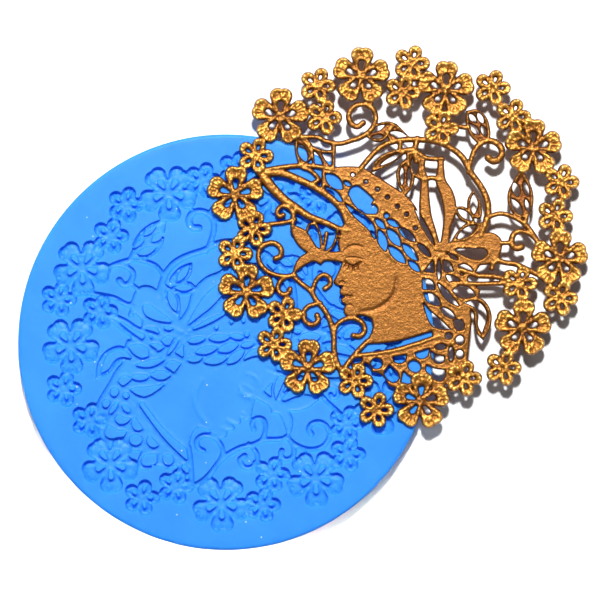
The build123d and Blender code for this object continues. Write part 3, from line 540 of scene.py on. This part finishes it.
def petal(u, v, reach, lobe, split, hole):
    """How far inside a petal along +u each point is, how far inside its opening, and inside the rest."""
    if split:
        lean = math.atan2(split, reach - lobe)
        span = math.hypot(split, reach - lobe)
        turned = u * math.cos(lean) + np.abs(v) * math.sin(lean)
        off = np.abs(v) * math.cos(lean) - u * math.sin(lean)
        body = inside_teardrop(turned, off, 0.0, PETAL_ROOT, span, lobe)
    else:
        body = inside_teardrop(u, v, PETAL_ROOT, PETAL_ROOT, reach - lobe, lobe)
    opening = inside_teardrop(u, v, *hole)
    return body, opening, np.minimum(body, -opening)


def add_blossoms(field):
    kinds = ((BIG_BLOSSOMS, BIG_REACH, BIG_LOBE, BIG_SPLIT, BIG_TURN, BIG_HOLE, BIG_RELIEF),
             (SMALL_BLOSSOMS, SMALL_REACH, SMALL_LOBE, 0, SMALL_TURN, SMALL_HOLE, SMALL_RELIEF))
    for places, reach, lobe, split, first_turn, hole, (dip, ridges, ridge_height) in kinds:
        for cx, cy in places:
            cells, x, y = field.window((cx - reach, cy - reach), (cx + reach, cy + reach))
            radius = np.hypot(x - cx, y - cy)
            solid = HEART_RADIUS - radius
            opening = np.full(x.shape, FAR_OUTSIDE)
            height = np.where(radius < HEART_RADIUS + OVERHANG, BLOSSOM_HEART, 0.0)
            for number in range(PETALS):
                turn = math.radians(first_turn + 360 / PETALS * number)
                u = (x - cx) * math.cos(turn) + (y - cy) * math.sin(turn)
                v = (y - cy) * math.cos(turn) - (x - cx) * math.sin(turn)
                body, hollow, inside = petal(u, v, reach, lobe, split, hole)
                outward = np.clip((u / reach - 0.25) / 0.5, 0, 1)
                ridge = np.cos(np.arctan2(v, u - 0.35 * reach) * ridges) * outward
                rim = 0.25 + 0.75 * hump(body, 0.55, 0.4)
                relief = dip + (BLOSSOM_TOP - dip) * rim * outward + ridge_height * ridge
                relief = relief * dome(inside / PETAL_ROUNDING, PETAL_EDGE)
                solid = np.maximum(solid, body)
                opening = np.maximum(opening, hollow)
                height = np.maximum(height, np.where(body > -OVERHANG, relief, 0))
            field.add(cells, np.minimum(solid, -opening), height)
            field.petals[cells] = np.maximum(field.petals[cells], np.clip(solid, 0, 0.5) * 2)


# The closed eye, brow, nostril, lips and jaw, which are drawn for this model: width, depth, points.
FACE_LINES = {
    "brow": (0.32, 0.22, [(-12.3, -3.3), (-11.1, -2.4), (-9.5, -2.1), (-7.8, -2.6)]),
    "eyelid": (0.34, 0.4, [(-12.1, -6.1), (-11.2, -6.9), (-9.9, -7.1), (-8.3, -6.2)]),
    "lid_fold": (0.2, 0.2, [(-11.9, -5.2), (-10.8, -5), (-9.3, -5.1), (-8.1, -5.5)]),
    "lash_front": (0.2, 0.34, [(-11.8, -6.5), (-12.3, -7.3)]),
    "lash_second": (0.2, 0.34, [(-11.1, -6.9), (-11.4, -7.9)]),
    "lash_third": (0.2, 0.34, [(-10.2, -7.1), (-10.2, -8.2)]),
    "lash_back": (0.2, 0.34, [(-9.3, -6.9), (-9, -7.9)]),
    "nostril": (0.26, 0.25, [(-13.5, -11.2), (-12.8, -10.8), (-12.3, -11.3)]),
    "lips": (0.3, 0.32, [(-12.6, -14.4), (-11.8, -14.2), (-11, -14.5), (-10.5, -14.2)]),
    "chin": (0.3, 0.14, [(-12, -16.7), (-11.2, -16.4), (-10.4, -16.7)]),
    "jaw": (0.6, 0.22, [(-8.4, -18.1), (-5, -17.4), (-1.9, -15.6), (-0.3, -13.1), (0.2, -10.3)]),
}


def engrave_face(field):
    for width, depth, points in FACE_LINES.values():
        path = smooth_curve(points)
        cells, x, y = field.window(path.min(0), path.max(0))
        gap, along = path_distance(x, y, path)
        taper = 0.45 + 0.55 * np.sin(math.pi * np.clip(along * 0.9 + 0.05, 0, 1))
        field.height[cells] -= depth * taper * hump(gap, 0, width * 0.8)


def value_noise(x, y, size, seed):
    """Smooth random heights from -1 to 1, whose lumps are about size across."""
    draw = np.random.default_rng(seed).uniform(-1, 1, (NOISE_CELLS, NOISE_CELLS))
    u, v = x / size, y / size
    i, j = np.floor(u).astype(int), np.floor(v).astype(int)
    fu, fv = u - i, v - j
    fu, fv = fu * fu * (3 - 2 * fu), fv * fv * (3 - 2 * fv)
    left, right = i % NOISE_CELLS, (i + 1) % NOISE_CELLS
    low, high = j % NOISE_CELLS, (j + 1) % NOISE_CELLS
    a, b, c, d = draw[low, left], draw[low, right], draw[high, left], draw[high, right]
    return (a * (1 - fu) + b * fu) * (1 - fv) + (c * (1 - fu) + d * fu) * fv


def blurred(values, radius):
    """A small round blur, the same in both directions."""
    reach = int(math.ceil(radius * 3 / FIELD_STEP))
    weights = np.exp(-0.5 * (np.arange(-reach, reach + 1) * FIELD_STEP / radius) ** 2)
    weights /= weights.sum()
    for axis in (0, 1):
        moved = [np.roll(values, shift, axis) * weight
                 for shift, weight in zip(range(-reach, reach + 1), weights)]
        values = sum(moved)
    return values


def draw_lace():
    field = Field()
    add_areas(field)
    add_strands(field)
    add_blossoms(field)
    engrave_face(field)
    return field


def sample(values, x, y):
    """The grid's value at any points, in millimetres."""
    u = np.clip((x + FIELD_HALF) / FIELD_STEP, 0, values.shape[1] - 1.001)
    v = np.clip((y + FIELD_HALF) / FIELD_STEP, 0, values.shape[0] - 1.001)
    i, j = u.astype(int), v.astype(int)
    fu, fv = u - i, v - j
    low = values[j, i] * (1 - fu) + values[j, i + 1] * fu
    high = values[j + 1, i] * (1 - fu) + values[j + 1, i + 1] * fu
    return low * (1 - fv) + high * fv


# -------------------- from the field to a mesh
def contour(values, level, step, half=FIELD_HALF):
    """Points and edges of the line where the field crosses a level, on a grid of the given step."""
    axis = np.arange(-half, half + step / 2, step)
    x, y = np.meshgrid(axis, axis)
    z = sample(values, x, y) - level
    z = np.where(np.abs(z) < 1e-6, 1e-6, z)
    rows, columns = z.shape
    above = z > 0
    points = []
    index_x = np.full(z.shape, -1)
    index_y = np.full(z.shape, -1)
    j, i = np.nonzero(above[:, :-1] != above[:, 1:])
    t = z[j, i] / (z[j, i] - z[j, i + 1])
    index_x[j, i] = np.arange(len(i))
    points.append(np.stack([axis[i] + t * step, axis[j]], 1))
    count = len(i)
    j, i = np.nonzero(above[:-1, :] != above[1:, :])
    t = z[j, i] / (z[j, i] - z[j + 1, i])
    index_y[j, i] = np.arange(len(i)) + count
    points.append(np.stack([axis[i], axis[j] + t * step], 1))
    points = np.vstack(points)
    low, high = index_x[:-1, :-1], index_x[1:, :-1]
    left, right = index_y[:-1, :-1], index_y[:-1, 1:]
    a, b = above[:-1, :-1], above[:-1, 1:]
    d, c = above[1:, :-1], above[1:, 1:]
    middle = (z[:-1, :-1] + z[:-1, 1:] + z[1:, :-1] + z[1:, 1:]) > 0
    edges = []

    def join(mask, first, second):
        edges.append(np.stack([first[mask], second[mask]], 1))

    saddle = (a == c) & (b == d) & (a != b)
    join(~saddle & (a != b) & (a != d), low, left)
    join(~saddle & (b != a) & (b != c), low, right)
    join(~saddle & (c != b) & (c != d), high, right)
    join(~saddle & (d != a) & (d != c), high, left)
    join((a == b) & (c == d) & (a != c), left, right)
    join((a == d) & (b == c) & (a != b), low, high)
    cut_corners = saddle & (a == middle)
    join(cut_corners, low, right)
    join(cut_corners, high, left)
    other = saddle & (a != middle)
    join(other, low, left)
    join(other, high, right)
    return points, np.vstack(edges)


def hex_points(half, step):
    """Evenly spread points over a square."""
    rows = np.arange(-half, half, step * math.sqrt(3) / 2)
    columns = np.arange(-half, half, step)
    x, y = np.meshgrid(columns, rows)
    x = x + (np.arange(len(rows)) % 2)[:, None] * step / 2
    return np.stack([x.ravel(), y.ravel()], 1)


def triangulate(points, edges, keep):
    """Triangles over the points that respect the edges, where keep(centres) is true."""
    places, _, faces, _, _, _ = delaunay_2d_cdt(
        [Vector(p) for p in points.tolist()], edges.tolist(), [], 0, 1e-5)
    places = np.array([tuple(p) for p in places])
    faces = np.array(faces)
    centres = places[faces].mean(1)
    return places, faces[keep(centres)]


def mesh_object(name, vertices, triangles, material, sharp=None):
    """A smooth-shaded mesh object from vertices in millimetres."""
    used = np.unique(triangles)
    order = np.full(len(vertices), -1)
    order[used] = np.arange(len(used))
    vertices, triangles = vertices[used] * MM, order[triangles]
    mesh = bpy.data.meshes.new(name)
    mesh.vertices.add(len(vertices))
    mesh.vertices.foreach_set("co", vertices.ravel())
    mesh.loops.add(triangles.size)
    mesh.loops.foreach_set("vertex_index", triangles.ravel())
    mesh.polygons.add(len(triangles))
    mesh.polygons.foreach_set("loop_start", np.arange(0, triangles.size, 3))
    mesh.update(calc_edges=True)
    mesh.validate()
    mesh.shade_smooth()
    if sharp:
        mesh.set_sharp_from_angle(angle=math.radians(sharp))
    mesh.materials.append(material)
    made = bpy.data.objects.new(name, mesh)
    bpy.context.scene.collection.objects.link(made)
    return made


def boundary_edges(triangles):
    """The directed edges that only one triangle has."""
    edges = np.vstack([triangles[:, [0, 1]], triangles[:, [1, 2]], triangles[:, [2, 0]]])
    keys = np.sort(edges, 1)
    _, first, count = np.unique(keys, axis=0, return_index=True, return_counts=True)
    return edges[first[count == 1]]


def closed_floor(points, edges):
    """Triangles that fill the inside of closed boundaries, found by crossing them from outside."""
    places, _, faces, origin, _, _ = delaunay_2d_cdt(
        [Vector(p) for p in points.tolist()], edges.tolist(), [], 0, 1e-6)
    old = [source[0] if source else -1 for source in origin]
    walls = {frozenset(edge) for edge in edges.tolist()}
    beside = {}
    for number, face in enumerate(faces):
        for a, b in ((face[0], face[1]), (face[1], face[2]), (face[2], face[0])):
            beside.setdefault(frozenset((a, b)), []).append(number)
    state = {}
    todo = []
    for edge, owners in beside.items():
        if len(owners) == 1:
            is_wall = frozenset(old[v] for v in edge) in walls
            todo.append((owners[0], is_wall))
    while todo:
        number, inside = todo.pop()
        if number in state:
            continue
        state[number] = inside
        face = faces[number]
        for a, b in ((face[0], face[1]), (face[1], face[2]), (face[2], face[0])):
            is_wall = frozenset((old[a], old[b])) in walls
            for other in beside[frozenset((a, b))]:
                if other not in state:
                    todo.append((other, inside != is_wall))
    kept = [[old[v] for v in face] for number, face in enumerate(faces) if state.get(number)]
    return np.array(kept)


# -------------------- the casting
CASTING_GRID = 0.27
CASTING_CONTOUR = 0.25
RIM_CLEARANCE = 0.13          # how far the inner points stand from the rim
FACE_GRID = 0.13              # the closer grid over the face's fine lines
FACE_WINDOWS = [((-10.6, -5.2), (2.9, 3.5)), ((-11.6, -13.6), (2.1, 3.4))]   # centre, half size
LUMPS = [(0.8, 0.1), (0.45, 0.1)]  # size and height of the uneven surface's lumps


def near_face(points):
    """Which points lie in the windows over the face's fine lines."""
    return np.any([(np.abs(points - centre) < half).all(1) for centre, half in FACE_WINDOWS], axis=0)


def uneven_surface(field):
    """Small lumps all over, but few on the flat areas and more on the petals."""
    x, y = np.meshgrid(field.axis, field.axis)
    lumps = sum(value_noise(x, y, size, SEED + number) * height
                for number, (size, height) in enumerate(LUMPS))
    level_parts = (field.height > AREA_TOP - 0.24) & (field.height < AREA_TOP + 0.02)
    flat = blurred(level_parts.astype(float), 0.3)
    return lumps * (1 - 0.85 * flat + field.petals)


def casting_mesh(field, material, place):
    """The lace: relief on top, short upright walls and a flat back that rests at the given place."""
    relief = blurred(field.height * (field.inside > 0), SOFTENING) + uneven_surface(field)
    rim, rim_edges = contour(field.inside, 0, CASTING_CONTOUR)
    spread = hex_points(FIELD_HALF, CASTING_GRID)
    fine = hex_points(FIELD_HALF, FACE_GRID)
    spread = np.vstack([spread[~near_face(spread)], fine[near_face(fine)]])
    spread = spread[sample(field.inside, *spread.T) > RIM_CLEARANCE]
    points = np.vstack([rim, spread])
    places, faces = triangulate(points, rim_edges, lambda c: sample(field.inside, *c.T) > 0)
    edge = boundary_edges(faces)
    on_edge = np.zeros(len(places), bool)
    on_edge[edge.ravel()] = True
    top = np.where(on_edge, WALL_HEIGHT, np.maximum(sample(relief, *places.T), WALL_HEIGHT + 0.1))
    base = np.flatnonzero(on_edge)
    base_of = np.full(len(places), -1)
    base_of[base] = np.arange(len(base)) + len(places)
    floor = closed_floor(places[base], np.searchsorted(base, edge))
    walls = np.vstack([
        np.stack([edge[:, 1], edge[:, 0], base_of[edge[:, 0]]], 1),
        np.stack([edge[:, 1], base_of[edge[:, 0]], base_of[edge[:, 1]]], 1)])
    triangles = np.vstack([faces, walls, floor[:, ::-1] + len(places)])
    under = np.column_stack([places[base], np.zeros(len(base))])
    vertices = np.vstack([np.column_stack([places, top]), under])
    return mesh_object("lace_casting_relief", vertices + place, triangles, material, sharp=70)


# -------------------- the mould
MOULD_CONTOUR = 0.25
MOULD_GRID, PLAIN_GRID = 0.5, 1.5   # over the cavity, and on the plain top round it
MOULD_SIDES = 360
RIM_ROUNDING = 0.8
BASE_ROUNDING = 0.3
LIP_LEVEL = -0.06             # where the cavity's wall starts, outside the drawn line
FLOOR_LEVEL = 0.2             # where the wall meets the cavity's floor


def mirrored(x, y):
    """The point of the casting that fits a point of the mould."""
    c, s = math.cos(CAVITY_TURN), math.sin(CAVITY_TURN)
    u, v = x - CAVITY_PLACE[0], y - CAVITY_PLACE[1]
    return u * c + v * s, u * s - v * c


def ring(radius, height):
    """Points round a level circle."""
    turn = np.arange(MOULD_SIDES) * 2 * math.pi / MOULD_SIDES
    return np.stack([radius * np.cos(turn), radius * np.sin(turn), np.full(MOULD_SIDES, height)], 1)


def mould_mesh(field, material, radius, thickness):
    """The round pad: a top with the cavity sunk in it, a rounded rim, a side and a flat base."""
    x, y = np.meshgrid(field.axis, field.axis)
    inside = sample(field.inside, *mirrored(x, y))
    relief = blurred(sample(field.height * (field.inside > 0), *mirrored(x, y)), SOFTENING)
    lip, lip_edges = contour(inside, LIP_LEVEL, MOULD_CONTOUR)
    foot, foot_edges = contour(inside, FLOOR_LEVEL, MOULD_CONTOUR)
    flat_radius = radius - RIM_ROUNDING
    outer = ring(flat_radius, 0)[:, :2]
    near = hex_points(radius, MOULD_GRID)
    level = sample(inside, *near.T)
    span = np.hypot(*near.T)
    floor_points = near[level > FLOOR_LEVEL + 0.15]
    close_points = near[(level < LIP_LEVEL - 0.3) & (level > -MARGIN + 0.02) & (span < flat_radius - 0.6)]
    far = hex_points(radius, PLAIN_GRID)
    far = far[(sample(inside, *far.T) < -MARGIN + 0.02) & (np.hypot(*far.T) < flat_radius - 1)]
    points = np.vstack([lip, foot, outer, floor_points, close_points, far])
    loop = np.arange(MOULD_SIDES)
    outer_edges = np.stack([loop, (loop + 1) % MOULD_SIDES], 1) + len(lip) + len(foot)
    edges = np.vstack([lip_edges, foot_edges + len(lip), outer_edges])
    places, faces = triangulate(points, edges, lambda c: np.hypot(*c.T) < flat_radius)
    level = sample(inside, *places.T)
    depth = np.where(level > (LIP_LEVEL + FLOOR_LEVEL) / 2, sample(relief, *places.T), 0)
    top = np.column_stack([places, thickness - depth])
    profile = []
    for step in range(1, 7):
        turn = math.radians(90 * step / 6)
        profile.append((flat_radius + RIM_ROUNDING * math.sin(turn),
                        thickness - RIM_ROUNDING * (1 - math.cos(turn))))
    for step in range(5):
        turn = math.radians(90 * step / 4)
        profile.append((radius - BASE_ROUNDING * (1 - math.cos(turn)),
                        BASE_ROUNDING * (1 - math.sin(turn))))
    profile += [(radius * 0.6, 0.0), (radius * 0.2, 0.0)]
    rings = [np.array([np.argmin(np.hypot(*(places - point).T)) for point in outer])]
    vertices = [top]
    count = len(top)
    for ring_radius, height in profile:
        vertices.append(ring(ring_radius, height))
        rings.append(np.arange(MOULD_SIDES) + count)
        count += MOULD_SIDES
    triangles = [faces]
    for upper, lower in zip(rings[:-1], rings[1:]):
        after = np.roll(upper, -1)
        below_after = np.roll(lower, -1)
        triangles += [np.stack([upper, lower, below_after], 1), np.stack([upper, below_after, after], 1)]
    vertices.append(np.array([[0.0, 0.0, 0.0]]))
    last = rings[-1]
    triangles.append(np.stack([last, np.full(MOULD_SIDES, count), np.roll(last, -1)], 1))
    triangles = np.vstack(triangles)
    return mesh_object("silicone_mould_pad", np.vstack(vertices), triangles, material, sharp=50)


# -------------------- materials
def node_material(name):
    material = bpy.data.materials.new(name)
    material.use_nodes = True
    return material, material.node_tree, material.node_tree.nodes["Principled BSDF"]


def noise_node(tree, place, scale, detail=3.0, roughness=0.5):
    node = tree.nodes.new("ShaderNodeTexNoise")
    node.inputs["Scale"].default_value = scale
    node.inputs["Detail"].default_value = detail
    node.inputs["Roughness"].default_value = roughness
    tree.links.new(place, node.inputs["Vector"])
    return node


def ramp_node(tree, source, stops):
    node = tree.nodes.new("ShaderNodeValToRGB")
    node.color_ramp.elements.remove(node.color_ramp.elements[1])
    for number, (position, colour) in enumerate(stops):
        stop = node.color_ramp.elements[0] if number == 0 else node.color_ramp.elements.new(position)
        stop.position = position
        stop.color = (*colour, 1)
    tree.links.new(source, node.inputs["Fac"])
    return node


def range_node(tree, source, low, high, to_low, to_high):
    node = tree.nodes.new("ShaderNodeMapRange")
    for socket, value in zip(("From Min", "From Max", "To Min", "To Max"), (low, high, to_low, to_high)):
        node.inputs[socket].default_value = value
    tree.links.new(source, node.inputs["Value"])
    return node.outputs["Result"]


def bump_node(tree, height, strength, distance, under=None):
    node = tree.nodes.new("ShaderNodeBump")
    node.inputs["Strength"].default_value = strength
    node.inputs["Distance"].default_value = distance
    tree.links.new(height, node.inputs["Height"])
    if under:
        tree.links.new(under, node.inputs["Normal"])
    return node.outputs["Normal"]


def gold_paint():
    """Metallic gold paint with a sparkling grain, and painted shade and highlight: darker on the low parts
    of the relief, brighter on the raised parts.
    """
    material, tree, shader = node_material("gold_paint")
    place = tree.nodes.new("ShaderNodeTexCoord").outputs["Object"]
    split = tree.nodes.new("ShaderNodeSeparateXYZ")
    tree.links.new(place, split.inputs["Vector"])
    # painted shade and highlight: height over the casting's back darkens the low parts and lightens the
    # raised parts
    painted_height_light = range_node(tree, split.outputs["Z"], 0.0057, 0.0067, 0, 0.6)
    grain = noise_node(tree, place, 2600, 4, 0.7).outputs["Fac"]
    # the grain's random tone plus the painted shade and highlight from height
    grain_and_painted_shade = tree.nodes.new("ShaderNodeMath")
    grain_and_painted_shade.operation = "MULTIPLY_ADD"
    grain_and_painted_shade.inputs[1].default_value = 0.45
    tree.links.new(grain, grain_and_painted_shade.inputs[0])
    tree.links.new(painted_height_light, grain_and_painted_shade.inputs[2])
    # colours run from painted shade in the hollows to painted highlight on the raised parts, mixed with the
    # grain's tone
    colour = ramp_node(tree, grain_and_painted_shade.outputs["Value"], [
        (0.22, (0.15, 0.042, 0.006)), (0.4, (0.25, 0.094, 0.015)), (0.48, (0.37, 0.15, 0.025)),
        (0.58, (0.58, 0.26, 0.042)), (0.74, (0.82, 0.44, 0.085)), (0.86, (0.92, 0.62, 0.2))])
    tree.links.new(colour.outputs["Color"], shader.inputs["Base Color"])
    shader.inputs["Metallic"].default_value = 0.75
    tree.links.new(range_node(tree, grain, 0.3, 0.7, 0.5, 0.34), shader.inputs["Roughness"])
    lumps = noise_node(tree, place, 1400, 3, 0.6).outputs["Fac"]
    coarse = bump_node(tree, lumps, 0.7, 0.00018)
    tree.links.new(bump_node(tree, grain, 0.8, 0.0001, coarse), shader.inputs["Normal"])
    return material


def blue_silicone():
    """Soft satin silicone rubber, a little mottled, with specks of dust on it."""
    material, tree, shader = node_material("blue_silicone")
    place = tree.nodes.new("ShaderNodeTexCoord").outputs["Object"]
    mottle = noise_node(tree, place, 90, 4, 0.55).outputs["Fac"]
    blue = ramp_node(tree, mottle, [(0.3, (0.022, 0.23, 0.80)), (0.7, (0.032, 0.265, 0.88))])
    dust = tree.nodes.new("ShaderNodeTexVoronoi")
    dust.inputs["Scale"].default_value = 260
    tree.links.new(place, dust.inputs["Vector"])
    speck = range_node(tree, dust.outputs["Distance"], 0.03, 0.06, 0.6, 0)
    mix = tree.nodes.new("ShaderNodeMixRGB")
    mix.inputs["Color2"].default_value = (0.8, 0.9, 1, 1)
    tree.links.new(speck, mix.inputs["Fac"])
    tree.links.new(blue.outputs["Color"], mix.inputs["Color1"])
    tree.links.new(mix.outputs["Color"], shader.inputs["Base Color"])
    shader.inputs["Subsurface Weight"].default_value = 0.6
    shader.inputs["Subsurface Radius"].default_value = (0.3, 0.7, 1.0)
    shader.inputs["Subsurface Scale"].default_value = 0.0035
    shader.inputs["Specular IOR Level"].default_value = 0.2
    skin = noise_node(tree, place, 700, 3, 0.6).outputs["Fac"]
    tree.links.new(range_node(tree, skin, 0.3, 0.7, 0.42, 0.58), shader.inputs["Roughness"])
    tree.links.new(bump_node(tree, skin, 0.25, 0.00008), shader.inputs["Normal"])
    return material


def pale_floor():
    material, tree, shader = node_material("pale_floor")
    shader.inputs["Base Color"].default_value = (0.9, 0.9, 0.9, 1)
    shader.inputs["Roughness"].default_value = 0.9
    return material


# -------------------- the studio
# in metres
VIEW_WIDTH = 0.145
VIEW_CENTRE = (0.0178, 0.01015)
CAMERA_HEIGHT = 0.9
LIT_PLACE = (0.015, 0.01, 0)
FLOOR_HALF = 1.5


def add_camera():
    camera = bpy.data.cameras.new("camera")
    camera.lens = camera.sensor_width * CAMERA_HEIGHT / VIEW_WIDTH
    camera.clip_start = 0.01
    made = bpy.data.objects.new("camera", camera)
    made.location = (*VIEW_CENTRE, CAMERA_HEIGHT)
    bpy.context.scene.collection.objects.link(made)
    bpy.context.scene.camera = made


def add_light(name, place, target, size, power):
    """A round soft light that faces the target."""
    light = bpy.data.lights.new(name, "AREA")
    light.shape = "DISK"
    light.size = size
    light.energy = power
    made = bpy.data.objects.new(name, light)
    made.location = place
    made.rotation_euler = (Vector(target) - Vector(place)).to_track_quat("-Z", "Y").to_euler()
    bpy.context.scene.collection.objects.link(made)
    return made


def add_floor_wash(floor):
    """A narrow light on the floor alone, in front of the mould, that whitens the mould's own shadow."""
    wash = add_light("wash", (-0.012, -0.35, 0.3), (-0.014, -0.06, 0), 0.05, 0.05)
    wash.data.spread = math.radians(16)
    lit = bpy.data.collections.new("lit by the wash")
    lit.objects.link(floor)
    wash.light_linking.receiver_collection = lit


def add_floor():
    mesh = bpy.data.meshes.new("floor")
    corners = [(x * FLOOR_HALF, y * FLOOR_HALF, 0) for x, y in ((-1, -1), (1, -1), (1, 1), (-1, 1))]
    mesh.from_pydata(corners, [], [(0, 1, 2, 3)])
    mesh.materials.append(pale_floor())
    floor = bpy.data.objects.new("floor", mesh)
    floor.location.z = cad_box[0][2]
    bpy.context.scene.collection.objects.link(floor)
    return floor


def add_world():
    world = bpy.data.worlds.new("studio")
    world.use_nodes = True
    background = world.node_tree.nodes["Background"]
    background.inputs["Color"].default_value = (1, 1, 1, 1)
    background.inputs["Strength"].default_value = 0.09
    bpy.context.scene.world = world


# -------------------- putting it together
add_camera()
add_world()
floor = add_floor()
add_light("key", (0.03, 0.5, 0.9), LIT_PLACE, 0.11, 17.5)
add_light("fill", (-0.35, -0.2, 0.7), LIT_PLACE, 0.5, 0.5)
add_floor_wash(floor)
bpy.context.scene.view_settings.view_transform = "Standard"

lace = draw_lace()
gold = gold_paint()
silicone = blue_silicone()

mould_low, mould_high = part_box("silicone_mould")
casting_low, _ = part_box("lace_casting")
mould_radius = (mould_high.x - mould_low.x) / 2 / MM
casting_place = np.array([*CASTING_PLACE, casting_low.z / MM])

casting = casting_mesh(lace, gold, casting_place)
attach(casting, "casting")
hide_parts("lace_casting")

mould = mould_mesh(lace, silicone, mould_radius, mould_high.z / MM)
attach(mould, "mould")
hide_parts("silicone_mould")
